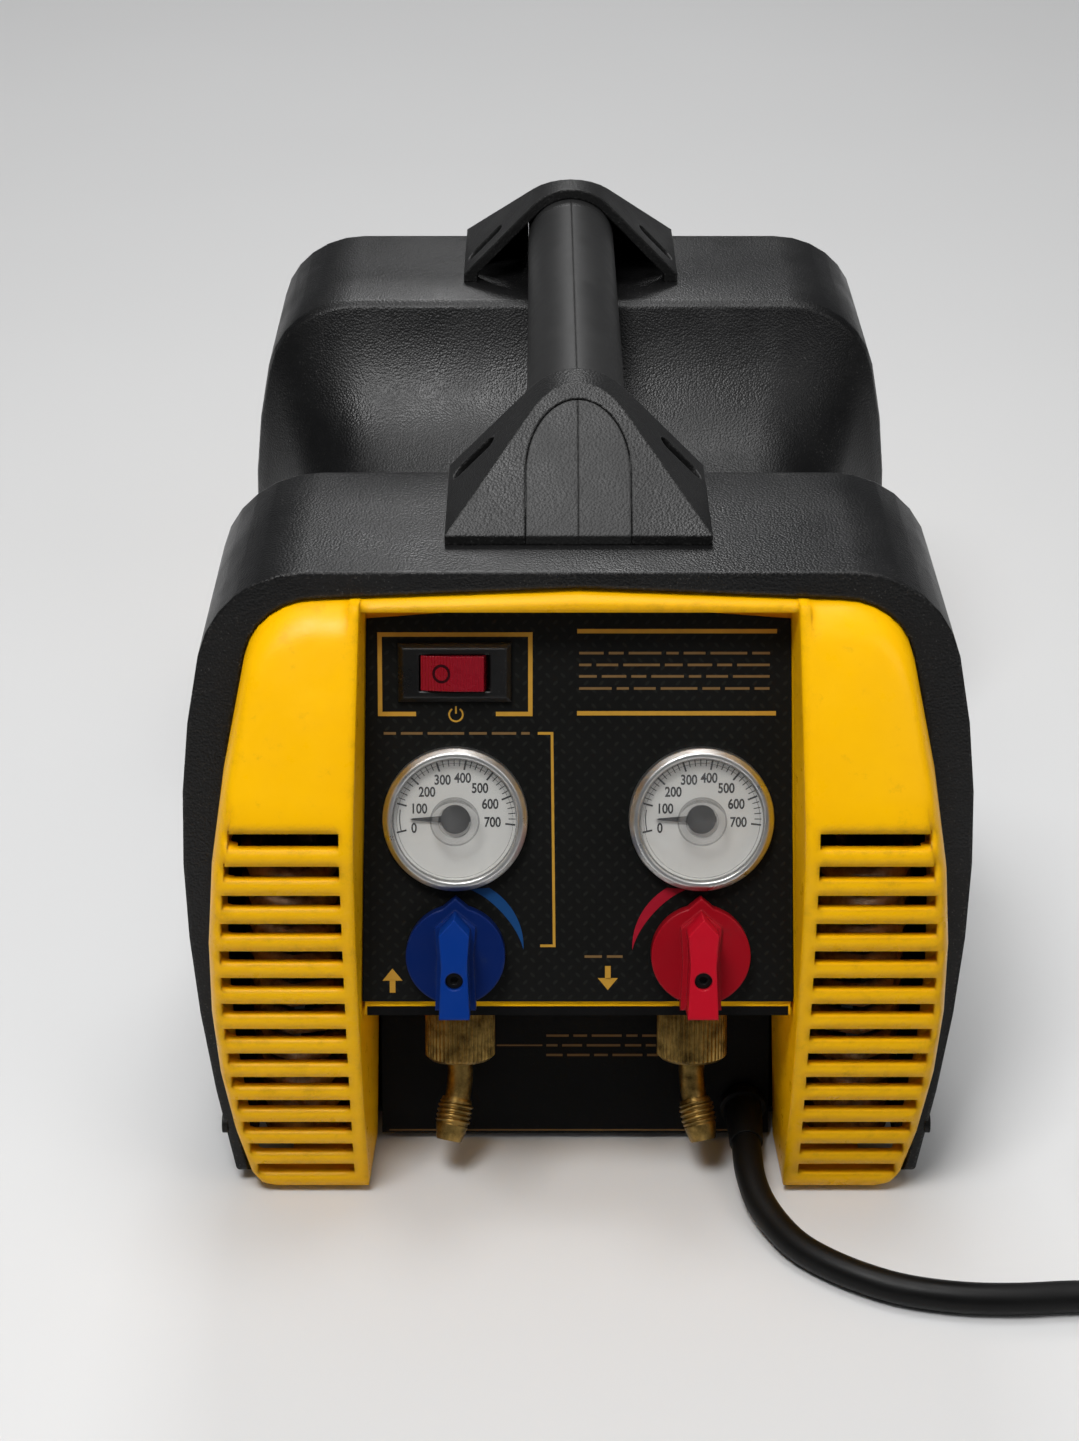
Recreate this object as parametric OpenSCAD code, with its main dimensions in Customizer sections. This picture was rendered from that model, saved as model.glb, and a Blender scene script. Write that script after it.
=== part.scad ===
// Portable refrigerant recovery machine: a twin compressor in a waisted shell with louvred ends.
// Millimetres, Z up, front towards -Y, origin on the floor below the middle of the case.

/* [Shell] */
// Height of the flat top above the floor
shell_top_z = 200; // [194:1:208]
// Half width at the widest line
shell_half_w = 118.5; // [116:0.5:121]
// Height that the bulge of the sides is drawn to
shell_wide_z = 105; // [98:1:112]
// Half width at the lower edge
shell_foot_half_w = 107; // [106:0.5:110]
// Height of the lower edge above the floor
shell_foot_z = 5; // [4:0.5:6]
// Radius of the upper corners
shell_corner_r = 33; // [30:1:36]
// Lean of the upper sides, degrees
side_lean = 13.5; // [9:1:14]
// Wall thickness
shell_wall = 4; // [3:0.5:5]
// Half length of the top
shell_end_y = 145; // [142:1:150]
// Lean of the two end rims, degrees
rim_lean = 9; // [7:0.5:11]
// Depth of the lip that frames each end panel
rim_lip = 5; // [4:0.5:7]
// Radius of the valley across the top
valley_r = 76; // [72:1:78]
// Height of the valley's axis
valley_axis_z = 222; // [218:1:226]
// Waist of the sides for each unit of valley depth
waist_ratio = 0.36; // [0.3:0.02:0.4]
// Share of the waist that is left at the lower edge
waist_foot = 0.5; // [0.3:0.1:0.7]
// Softening of the valley's edges
edge_soft = 4; // [2:0.5:6]

/* [End panels] */
// Height of the panel's upper edge
panel_top_z = 192; // [190:0.5:193]
// Half width at the widest line
panel_half_w = 110; // [108.5:0.5:110.5]
// Height that the bulge of the sides is drawn to
panel_wide_z = 80; // [74:1:86]
// Half width at the lower edge
panel_foot_half_w = 102; // [100:0.5:103]
// Height of the lower edge above the floor
panel_foot_z = 3; // [2:0.5:4]
// Radius of the upper corners
panel_corner_r = 22; // [20:1:24]
// Wall thickness
panel_wall = 3; // [2.5:0.25:3.5]
// How far the panel reaches in behind the rim
panel_lap = 6; // [5:0.5:9]
// How far the panel's upper edge stands out of the rim
panel_proud = 2.5; // [1.5:0.25:3.5]
// Depth of the rounding along the panel's edge
panel_edge_r = 9; // [7:0.5:11]
// Gap between panel and rim
panel_gap = 0.3; // [0.2:0.05:0.4]
// Foremost distance of the louvred columns
face_y = 188.6; // [187:0.2:190]
// Height of the foremost line
face_z = 82; // [76:1:88]
// Radius of the columns' long curve
face_r = 415; // [380:5:450]
// Height of the shoulder above the louvres
shoulder_z = 133; // [131:0.5:136]
// Half length of the shoulder's rounding
shoulder_round = 11; // [7:1:14]
// Inner edge of each column
column_x = 65.5; // [64.5:0.5:67]
// Draft of the columns' inner walls, degrees
column_draft = 3; // [2:0.5:5]
// Rearmost distance of the rear panel
rear_face_y = 194.5; // [193:0.5:197]
// Half width of the rear panel's middle louvres
rear_middle_half_w = 56; // [50:1:58]

/* [Louvres] */
// Number of slots in a column
slot_count = 14; // [10:1:14]
// Height of the highest slot's middle
slot_top_z = 132.8; // [132:0.5:136]
// Distance from slot to slot
slot_pitch = 9.4; // [9:0.1:9.5]
// Height of a slot
slot_h = 4.9; // [4.2:0.1:5.4]
// Plain edge beside the slots
slot_edge = 4; // [3.8:0.1:6]

/* [Control plate] */
// Backward tilt of the plate, degrees
plate_tilt = 22; // [20:0.5:24]
// Distance of its lower edge from the middle of the case
plate_y = 179.5; // [178:0.5:181]
// Height of its lower edge
plate_z = 73.5; // [71:0.5:76]
// Height of the brow over the plate's upper corners
brow_h = 11.4; // [10.5:0.1:12.5]
// Rise of the plate's upper edge to its middle
plate_crown = 4.5; // [3:0.5:5]
// Rise of the brow's upper edge to its middle
brow_crown = 3.2; // [2:0.2:3.4]
// Thickness
plate_t = 1.2; // [0.8:0.1:1.6]
// Thickness of the panel behind it
backing_t = 3; // [2.5:0.25:3.5]
// Half distance between the two sides' controls
side_x = 36.5; // [35.5:0.25:37.5]

/* [Gauges] */
// Height of the gauges along the slope
gauge_u = 56; // [54:0.5:58]
// Radius of the bezel
gauge_bezel_r = 21.5; // [20.5:0.25:22.5]
// Radius of the case behind the plate
gauge_case_r = 19; // [18:0.25:19.5]
// Radius of the dial's well
gauge_well_r = 18.75; // [18:0.25:19]
// Depth of the case behind the plate
gauge_case_d = 22; // [18:1:26]
// Height of the bezel above the plate
gauge_bezel_h = 5; // [4.8:0.1:6]
// Thickness of the dial
dial_t = 0.6; // [0.4:0.1:0.8]
// Thickness of the lens
lens_t = 1.2; // [1:0.1:1.4]
// Radius of the lens's middle boss
lens_boss_r = 7.4; // [6.5:0.1:8]
// Height of the lens's middle boss
lens_boss_h = 1.4; // [1:0.1:2]
// Length of the needle's pointing end
needle_l = 13.5; // [12:0.5:15]

/* [Knobs] */
// Height of the knobs along the slope
knob_u = 15.2; // [15:0.1:16]
// Radius of the base disc
knob_r = 14.75; // [14:0.25:15.25]
// Thickness of the base disc
knob_disc_h = 5.4; // [4.5:0.1:6.5]
// Height of the pointer bar above the plate
knob_h = 19; // [17:0.5:20]
// Width of the pointer bar
knob_bar_w = 9; // [8:0.25:10]
// Reach of the pointer's tip
knob_tip = 14; // [13:0.25:15]
// Reach of the pointer's tail
knob_tail = 16; // [15.5:0.25:16.5]
// Radius of the valve's stem
stem_r = 4; // [3.5:0.25:4.5]
// Radial clearance of running fits
running_fit = 0.05; // [0.02:0.01:0.08]

/* [Ports] */
// Depth of the ports' axis behind the plate
port_n = 34; // [33:0.5:35]
// Depth of the connector plate behind the control plate
connector_n = 49; // [48:0.5:51]
// Thickness of the connector plate
connector_t = 2; // [1.5:0.25:2.5]
// Radius of the valve's spigot
spigot_r = 8; // [7.5:0.25:8.5]
// Length of the spigot below the control plate's edge
spigot_l = 18; // [17:0.5:18.5]
// Radius of the union nut
nut_r = 11; // [10.5:0.25:11.5]
// Upper end of the union nut, below the control plate's edge
nut_top = 8; // [7:0.5:9]
// Length of the union nut
nut_l = 19; // [18.5:0.25:20]
// Thickness of the nut's end wall
nut_end = 4; // [3.5:0.25:4.25]
// Radius of the bent port tube
tube_r = 4; // [3.5:0.25:4.25]
// Angle of the port tube's bend, degrees
tube_bend = 22; // [18:1:26]
// Outward turn of the bend, degrees
tube_splay = 32; // [26:1:38]
// Outer radius of the flare thread
flare_r = 5.55; // [5.3:0.05:5.8]
// Length of the flare thread
flare_l = 8.5; // [7:0.5:9]
// Unscrewing travel of the union
union_travel = 5.4; // [4:0.2:5.6]

/* [Handle] */
// Radius of the grip
grip_r = 15.5; // [14.5:0.25:15.75]
// Wall of the two grip halves
grip_wall = 3; // [2.5:0.25:4]
// Height of the grip's axis
grip_z = 216; // [215.5:0.25:217]
// Middle of the handle from the middle of the case
handle_mid_y = 8.5; // [7:0.5:8.5]
// Half length of the handle
handle_half_l = 135.5; // [132:0.5:135.5]
// Length of each bracket
bracket_l = 50; // [46:1:52]
// Outer radius of the bracket's ridge
ridge_r = 19.3; // [19:0.1:20]
// Slope of the bracket's sides, degrees
bracket_side_slope = 46; // [44:1:48]
// Slope of the bracket's outer face, degrees
bracket_face_slope = 40; // [38:1:44]
// Height of the bracket's upright edge
bracket_edge_h = 3; // [2:0.5:4]
// Wall of the bracket
bracket_wall = 3.5; // [3:0.25:3.5]
// Length of a strap slot
strap_slot_l = 18; // [16:0.5:19]
// Width of a strap slot
strap_slot_w = 6.5; // [5:0.1:7]
// Gap between the handle and its brackets
handle_gap = 0.25; // [0.15:0.05:0.3]

/* [Switch] */
// Height of the switch along the slope
switch_u = 99.7; // [98:0.25:100.5]
// Width of the bezel
switch_w = 33.4; // [32:0.2:35]
// Height of the bezel
switch_h = 17.4; // [16.5:0.1:18.5]
// Thickness of the bezel
switch_t = 3; // [2.5:0.1:3.5]
// Depth of the switch behind the plate
switch_depth = 22; // [20:0.5:26]
// Length of the rocker
rocker_l = 18.7; // [17.5:0.1:19]
// Width of the rocker
rocker_w = 10.3; // [9.5:0.1:11]
// Tilt of the rocker to each side, degrees
rocker_tilt = 8; // [6:0.5:9]

/* [Drive] */
// Height of the crank and motor axis
drive_z = 80; // [79:0.5:81]
// Radius of the motor
motor_r = 57; // [54:0.5:58]
// Length of the motor
motor_l = 95; // [92:1:97]
// Radius of the motor shaft
shaft_r = 6; // [5:0.25:7]
// Radius of the fan
fan_r = 68; // [66:0.5:69]
// Number of fan blades
fan_blades = 7; // [5:1:9]
// Pitch of the fan blades, degrees
fan_pitch = 28; // [24:1:30]
// Gap between the fan and its shroud
fan_gap = 2; // [1.5:0.25:2.5]
// Radius of the crankcase
crankcase_r = 45; // [42:0.5:46]
// Length of the crankcase
crankcase_l = 58; // [56:0.5:60]
// Bore wall radius of a cylinder barrel
barrel_r = 22; // [20:0.5:24]
// Radius of a cylinder's fins
fin_r = 28; // [26:0.5:28.5]
// Distance from a cylinder head to the shell's widest side
head_room = 27.5; // [27:0.5:30]
// Thickness of a cylinder head
head_t = 13; // [12:0.5:13.5]
// Thickness of the chassis tray
tray_t = 2; // [1.5:0.25:2]
// Half width of the chassis tray
tray_half_w = 92; // [90:0.5:93]

/* [Condenser] */
// Radius of the coil's tube
coil_tube_r = 4; // [3.5:0.25:4.25]
// Number of turns
coil_turns = 9; // [7:1:9]
// Distance from turn to turn
coil_pitch = 10.6; // [10:0.1:11]
// Distance from a coil's middle to the shell's widest side
coil_room = 31.5; // [31:0.25:32.5]
// Half distance between a coil's two legs
coil_half_w = 11; // [10:0.25:11.25]

/* [Hidden] */
$fn = 64;

// Left and right, as signs along X
LEFT = -1;
RIGHT = 1;
// A cut runs this far past the faces that it opens
over = 1;
// A length beyond the whole case
beyond = 400;
// Plate, cylinders and coils follow the case
plate_h = (panel_top_z - brow_h - plate_z) / cos(plate_tilt);
plate_peak = plate_h + plate_crown;
barrel_l = shell_half_w - head_room - head_t - crankcase_r;
coil_x = shell_half_w - coil_room;

// Colours
SHELL_BLACK = [0.09, 0.09, 0.095];
PANEL_YELLOW = [0.93, 0.72, 0.06];
LABEL_BLACK = [0.07, 0.075, 0.07];
HANDLE_GREY = [0.16, 0.16, 0.165];
BRASS = [0.72, 0.6, 0.36];
COPPER = [0.72, 0.45, 0.3];
STEEL = [0.65, 0.66, 0.68];
CAST = [0.5, 0.51, 0.52];
RUBBER = [0.05, 0.05, 0.05];
BLUE = [0.05, 0.25, 0.7];
RED = [0.8, 0.1, 0.25];

// Half outline of the case's cross-section, from the top's middle to the lower edge
ARC_STEPS = 6;
BELLY_STEPS = 7;
FOOT_STEPS = 2;
SHELL_FOOT_ROUND = 1;
PANEL_FOOT_ROUND = 4;
LIP_FOOT_EASE = 1.2;
function section_shape(top, half_w, wide_z, foot_w, foot_z, r, foot_round, crown) =
    [top, half_w, wide_z, foot_w, foot_z, r, foot_round, crown];
function bezier(a, b, c, t) = (1 - t) * (1 - t) * a + 2 * t * (1 - t) * b + t * t * c;
function half_section(s) =
    let (
        arc_end_z = s[0] - s[5] + s[5] * sin(side_lean),
        lean_run = (arc_end_z - s[2]) * tan(side_lean),
        pull = [(4 * s[1] + lean_run - s[3]) / 3, s[2]],
        arc_end = [pull[0] - lean_run, arc_end_z],
        arc_x = arc_end[0] - s[5] * cos(side_lean),
        foot = [s[3], s[4]],
        rise = s[6] * (pull - foot) / norm(pull - foot)
    )
    concat(
        [[0, s[0] + s[7]]],
        [for (i = [0:ARC_STEPS])
            let (a = 90 - (90 - side_lean) * i / ARC_STEPS)
            [arc_x + s[5] * cos(a), s[0] - s[5] + s[5] * sin(a)]],
        [for (i = [1:BELLY_STEPS - 1]) bezier(arc_end, pull, foot, i / BELLY_STEPS)],
        [for (i = [0:FOOT_STEPS]) bezier(foot + rise, foot, foot - [s[6], 0], i / FOOT_STEPS)]
    );
function side_x_at(section, z) = lookup(z, [for (p = half_section(section)) [p[1], p[0]]]);
function full_section(s) =
    let (h = half_section(s))
    concat([for (i = [len(h) - 1:-1:1]) [-h[i][0], h[i][1]]], h);

// Valley and waist of the shell
VALLEY_STEPS = 11;
WAIST_SINK = 0.4;
function soften(v) = (v + sqrt(v * v + edge_soft * edge_soft)) / 2;
function valley_drop(y, inset) =
    let (
        r = valley_r + inset,
        depth = valley_axis_z - shell_top_z + inset,
        raw = sqrt(max(0, r * r - y * y)) - depth
    )
    soften(raw) - soften(-depth);
function shell_section(y, inset) =
    let (drop = valley_drop(y, inset), waist = waist_ratio * drop)
    section_shape(
        shell_top_z - inset - drop, shell_half_w - inset - waist, shell_wide_z - WAIST_SINK * drop,
        shell_foot_half_w - inset - waist_foot * waist, shell_foot_z, shell_corner_r - inset,
        SHELL_FOOT_ROUND, 0
    );
function panel_section(inset) =
    section_shape(
        panel_top_z - inset, panel_half_w - inset, panel_wide_z, panel_foot_half_w - inset,
        panel_foot_z, panel_corner_r - inset, PANEL_FOOT_ROUND, brow_crown
    );
function lip_section() =
    let (s = panel_section(-panel_gap))
    section_shape(
        s[0], s[1] + LIP_FOOT_EASE / 4, s[2], s[3] + LIP_FOOT_EASE, shell_foot_z, s[5], SHELL_FOOT_ROUND, s[7]
    );

// Stations along the shell: 0 in the valley, 1 at its edge, 2 at the rim
function rim_y(z) = shell_end_y + (shell_top_z - z) * tan(rim_lean);
function station_y(s, z) =
    let (a = abs(s))
    sign(s) * (a <= 1 ? valley_r * sin(90 * a) : valley_r + (rim_y(z) - valley_r) * (a - 1));
LIP_STATION = 2 - rim_lip / (shell_end_y - valley_r);
LIP_SLOPE = 0.05;
HUMP_STATIONS = [1.35, 1.7, LIP_STATION - LIP_SLOPE, LIP_STATION, 2];
HALF_STATIONS = concat([for (i = [1:VALLEY_STEPS]) i / VALLEY_STEPS], HUMP_STATIONS);
STATIONS = concat([for (i = [len(HALF_STATIONS) - 1:-1:0]) -HALF_STATIONS[i]], [0], HALF_STATIONS);
function ring(s, section) = [for (p = full_section(section)) [p[0], station_y(s, p[1]), p[1]]];
function outer_ring(s) = ring(s, shell_section(station_y(s, shell_top_z), 0));
function inner_ring(s) =
    ring(s, abs(s) >= LIP_STATION ? lip_section() : shell_section(station_y(s, shell_top_z), shell_wall));
function flatten(lists) = [for (l = lists) for (e = l) e];
function quad(a, b, c, d) = [[a, b, c], [a, c, d]];

// Closed body through a row of rings, from the rear to the front
module loft(rings) {
    count = len(rings[0]);
    last = (len(rings) - 1) * count;
    faces = concat(
        [[for (j = [count - 1:-1:0]) j]],
        flatten([for (i = [0:len(rings) - 2]) for (j = [0:count - 1])
            let (a = i * count + j, b = i * count + (j + 1) % count)
            quad(a, b, b + count, a + count)]),
        [[for (j = [0:count - 1]) last + j]]
    );
    polyhedron(points = flatten(rings), faces = faces);
}

// Closed skin between an outer and an inner grid of points
module skin(outer, inner) {
    rows = len(outer);
    cols = len(outer[0]);
    shift = rows * cols;
    last_row = shift - cols;
    faces = concat(
        flatten([for (i = [0:rows - 2]) for (j = [0:cols - 2])
            let (a = i * cols + j)
            concat(
                quad(a, a + cols, a + cols + 1, a + 1),
                quad(shift + a, shift + a + 1, shift + a + cols + 1, shift + a + cols)
            )]),
        flatten([for (i = [0:rows - 2])
            let (a = i * cols, b = i * cols + cols - 1)
            concat(
                quad(a + cols, a, shift + a, shift + a + cols),
                quad(b, b + cols, shift + b + cols, shift + b)
            )]),
        flatten([for (j = [0:cols - 2])
            let (b = last_row + j)
            concat(
                quad(j, j + 1, shift + j + 1, shift + j),
                quad(b, shift + b, shift + b + 1, b + 1)
            )])
    );
    polyhedron(points = concat(flatten(outer), flatten(inner)), faces = faces);
}

// Round tube swept along a list of points
function unit(v) = v / norm(v);
function tangent(path, i) = unit(path[min(i + 1, len(path) - 1)] - path[max(i - 1, 0)]);
module swept_tube(path, r, sides) {
    rings = len(path);
    points = [for (i = [0:rings - 1])
        let (t = tangent(path, i), side = unit(cross(t, [0, 0, 1])), up = cross(side, t))
        for (k = [0:sides - 1]) path[i] + r * (cos(360 * k / sides) * side + sin(360 * k / sides) * up)];
    faces = concat(
        [[for (k = [sides - 1:-1:0]) k]],
        [for (i = [0:rings - 2]) for (k = [0:sides - 1])
            let (n = (k + 1) % sides)
            [i * sides + k, i * sides + n, (i + 1) * sides + n, (i + 1) * sides + k]],
        [[for (k = [0:sides - 1]) (rings - 1) * sides + k]]
    );
    polyhedron(points = points, faces = faces);
}

// Straight pipe from point to point with round corners
module pipe(path, r) {
    for (i = [0:len(path) - 2]) {
        d = path[i + 1] - path[i];
        translate(path[i])
            rotate([0, acos(d[2] / norm(d)), atan2(d[1], d[0])])
                cylinder(r = r, h = norm(d));
        if (i > 0) {
            translate(path[i])
                sphere(r = r);
        }
    }
}

// Prisms along X from points in Y and Z, and along Y from points in X and Z
module prism_x(points, x0, x1) {
    translate([x0, 0, 0])
        rotate([90, 0, 90])
            linear_extrude(x1 - x0)
                polygon(points);
}
module prism_y(points, y0, y1) {
    translate([0, y1, 0])
        rotate([90, 0, 0])
            linear_extrude(y1 - y0)
                polygon(points);
}
module both_sides() {
    children();
    mirror([1, 0, 0])
        children();
}
module box(low, high) {
    translate(low)
        cube(high - low);
}

// The control plate's own frame: X across, Y up the slope, Z out of the plate
module on_plate() {
    translate([0, -plate_y, plate_z])
        rotate([90 - plate_tilt, 0, 0])
            children();
}
function plate_point(u, n) = [
    -plate_y + u * sin(plate_tilt) - n * cos(plate_tilt),
    plate_z + u * cos(plate_tilt) + n * sin(plate_tilt)
];
// A port's own frame: Z down along the plate, Y out of it
module at_port(side) {
    on_plate()
        translate([side * side_x, 0, -port_n])
            rotate([90, 0, 0])
                children();
}

// Front curve of the louvred columns, from the lower edge to the upper edge
FACE_STEPS = 6;
SHOULDER_STEPS = 4;
function face_curve_y(z) = face_r - face_y - sqrt(face_r * face_r - (z - face_z) * (z - face_z));
PEAK_SPARE = 1.3;
PANEL_PEAK_Z = panel_top_z + brow_crown + PEAK_SPARE;
function column_curve() =
    let (
        corner = [face_curve_y(shoulder_z), shoulder_z],
        top = [-rim_y(PANEL_PEAK_Z) - panel_proud, PANEL_PEAK_Z],
        low_z = shoulder_z - shoulder_round,
        low = [face_curve_y(low_z), low_z],
        high = corner + unit(top - corner) * shoulder_round
    )
    concat(
        [for (i = [0:FACE_STEPS - 1])
            let (z = panel_foot_z + (low_z - panel_foot_z) * i / FACE_STEPS)
            [face_curve_y(z), z]],
        [for (i = [0:SHOULDER_STEPS]) bezier(low, corner, high, i / SHOULDER_STEPS)],
        [top]
    );
function column_profile(shift, back) =
    concat(
        [for (p = column_curve()) p + [shift, 0]],
        [[back - rim_y(PANEL_PEAK_Z), PANEL_PEAK_Z], [back - rim_y(panel_foot_z), panel_foot_z]]
    );
function panel_edge_x(z) = side_x_at(panel_section(0), z);
function slot_z(i) = slot_top_z - i * slot_pitch;

// Body with the panel's outline and its rounded edge, which follows the columns' curve
EDGE_STEPS = 4;
EDGE_SIDE_SHARE = 0.45;
COLUMN_DEPTH = [for (p = column_curve()) [p[1], p[0]]];
function edge_section(wall, inset) =
    section_shape(
        panel_top_z - wall - inset, panel_half_w - wall - EDGE_SIDE_SHARE * inset, panel_wide_z,
        panel_foot_half_w - wall - EDGE_SIDE_SHARE * inset, panel_foot_z,
        panel_corner_r - wall - EDGE_SIDE_SHARE * inset, PANEL_FOOT_ROUND, brow_crown
    );
function edge_ring(wall, a) =
    [for (p = full_section(edge_section(wall, panel_edge_r * (1 - cos(a)))))
        [p[0], lookup(p[1], COLUMN_DEPTH) + wall + panel_edge_r * (1 - sin(a)), p[1]]];
function flat_ring(wall, inset, y) = [for (p = full_section(edge_section(wall, inset))) [p[0], y, p[1]]];
module panel_envelope(wall) {
    loft(concat(
        [flat_ring(wall, 0, beyond)],
        [for (i = [0:EDGE_STEPS]) edge_ring(wall, 90 * i / EDGE_STEPS)],
        [flat_ring(wall, panel_edge_r, -beyond)]
    ));
}

// Space outside a column's drafted inner wall, moved outwards by an inset
module column_side(inset) {
    translate([column_x, -face_y, 0])
        rotate([0, 0, column_draft])
            box([inset, -beyond, -over], [beyond, beyond, beyond]);
}
module column_block() {
    intersection() {
        prism_x(column_profile(0, panel_lap), 0, shell_half_w);
        panel_envelope(0);
        column_side(0);
    }
}
module column_hollow() {
    intersection() {
        prism_x(column_profile(panel_wall, beyond), 0, shell_half_w);
        panel_envelope(panel_wall);
        column_side(panel_wall);
        box([0, -beyond, panel_foot_z + panel_wall], [beyond, beyond, beyond]);
    }
}
SLOT_IN = 0.8;
module column_slots() {
    for (i = [0:slot_count - 1]) {
        z = slot_z(i);
        box(
            [column_x + panel_wall + SLOT_IN, -beyond, z - slot_h / 2],
            [panel_edge_x(z) - slot_edge, face_curve_y(z) + 2 * panel_wall + over, z + slot_h / 2]
        );
    }
}

// Inner wall of a column, back to the control plate above and to the connector plate below
SOFFIT_U = 1.5;
SOFFIT_T = 3;
module column_inner_wall() {
    back_n = -backing_t - over;
    step_u = -SOFFIT_U - SOFFIT_T / 2;
    wall_back = concat(
        column_curve(),
        [plate_point(plate_peak + backing_t, back_n), plate_point(step_u, back_n),
            plate_point(step_u, -connector_n), plate_point(-plate_z, -connector_n)]
    );
    intersection() {
        prism_x(wall_back, 0, shell_half_w);
        difference() {
            column_side(0);
            column_side(panel_wall);
        }
        box([0, -beyond, panel_foot_z], [beyond, 0, panel_top_z]);
    }
}

// Tongue below the chassis tray
TONGUE_IN_X = 70;
TONGUE_OUT_X = 90;
TONGUE_Y = 135;
TRAY_Z = 6;
module tongue() {
    box([TONGUE_IN_X, -rim_y(panel_foot_z) - over, panel_foot_z], [TONGUE_OUT_X, -TONGUE_Y, TRAY_Z]);
}

// Holes of the controls through the plate and its backing
HOLE_GAP = 0.4;
STEM_HOLE_GAP = 1;
module control_holes(low, high) {
    for (side = [LEFT, RIGHT]) {
        translate([side * side_x, gauge_u, low])
            cylinder(r = gauge_case_r + HOLE_GAP, h = high - low);
        translate([side * side_x, knob_u, low])
            cylinder(r = stem_r + STEM_HOLE_GAP, h = high - low);
    }
    switch_body_outline(HOLE_GAP, low, high);
}

// Body shell
module body_shell() {
    color(SHELL_BLACK)
        skin([for (s = STATIONS) outer_ring(s)], [for (s = STATIONS) inner_ring(s)]);
}

// Front panel: two louvred columns, the tilted centre, the brow above it and the soffit below it
PANEL_MID_HALF_W = 64;
module front_centre() {
    on_plate()
        difference() {
            box(
                [-PANEL_MID_HALF_W, -SOFFIT_U, -backing_t],
                [PANEL_MID_HALF_W, plate_peak + backing_t / 2, 0]
            );
            control_holes(-backing_t - over, over);
        }
}
module front_brow() {
    brow_u = plate_peak + backing_t / 2;
    front_y = -rim_y(panel_top_z) - panel_proud;
    back_y = plate_point(brow_u, -backing_t)[0];
    half_w = PANEL_MID_HALF_W + over;
    intersection() {
        prism_x(
            [[front_y, PANEL_PEAK_Z], [front_y, panel_top_z - panel_wall], plate_point(brow_u, 0),
                plate_point(brow_u, -backing_t), [back_y, PANEL_PEAK_Z]],
            -half_w, half_w
        );
        panel_envelope(0);
    }
}
SOFFIT_HOLE_GAP = 0.5;
module front_soffit() {
    on_plate()
        difference() {
            box(
                [-PANEL_MID_HALF_W, -SOFFIT_U - SOFFIT_T, -connector_n],
                [PANEL_MID_HALF_W, -SOFFIT_U, 0]
            );
            for (side = [LEFT, RIGHT]) {
                translate([side * side_x, 0, -port_n])
                    rotate([90, 0, 0])
                        cylinder(r = spigot_r + SOFFIT_HOLE_GAP, h = 2 * SOFFIT_T + over);
            }
        }
}
module between_columns() {
    difference() {
        children();
        both_sides()
            column_side(panel_wall);
    }
}
module front_panel() {
    color(PANEL_YELLOW) {
        both_sides() {
            difference() {
                union() {
                    column_block();
                    tongue();
                }
                column_hollow();
                column_slots();
            }
            column_inner_wall();
        }
        between_columns() {
            front_centre();
            front_brow();
            front_soffit();
        }
    }
}

// Rear panel: one bulged cover with three banks of louvres
module rear_slots(x0, x1) {
    for (i = [0:slot_count - 1]) {
        z = slot_z(i);
        box([x0, -beyond, z - slot_h / 2], [x1(z), face_curve_y(z) + 2 * panel_wall + over, z + slot_h / 2]);
    }
}
module rear_panel() {
    set_back = face_y - rear_face_y;
    color(PANEL_YELLOW)
        mirror([0, 1, 0])
            difference() {
                union() {
                    translate([0, set_back, 0])
                        intersection() {
                            prism_x(column_profile(0, panel_lap - set_back), -shell_half_w, shell_half_w);
                            panel_envelope(0);
                        }
                    both_sides()
                        tongue();
                }
                translate([0, set_back, 0])
                    intersection() {
                        prism_x(column_profile(panel_wall, beyond), -shell_half_w, shell_half_w);
                        panel_envelope(panel_wall);
                        box([-beyond, -beyond, panel_foot_z + panel_wall], [beyond, beyond, beyond]);
                    }
                translate([0, set_back, 0]) {
                    rear_slots(-rear_middle_half_w, function (z) rear_middle_half_w);
                    both_sides()
                        rear_slots(column_x, function (z) panel_edge_x(z) - slot_edge);
                }
            }
}

// Control plate, between the columns' drafted walls
function plate_half_w(u) =
    column_x - panel_gap - (face_y - plate_y + u * sin(plate_tilt)) * tan(column_draft);
module plate_outline() {
    low = plate_half_w(0);
    high = plate_half_w(plate_h);
    polygon([[-low, 0], [low, 0], [high, plate_h], [0, plate_peak], [-high, plate_h]]);
}
module control_plate() {
    color(LABEL_BLACK)
        on_plate()
            difference() {
                linear_extrude(plate_t)
                    plate_outline();
                control_holes(-over, plate_t + over);
            }
}

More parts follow.
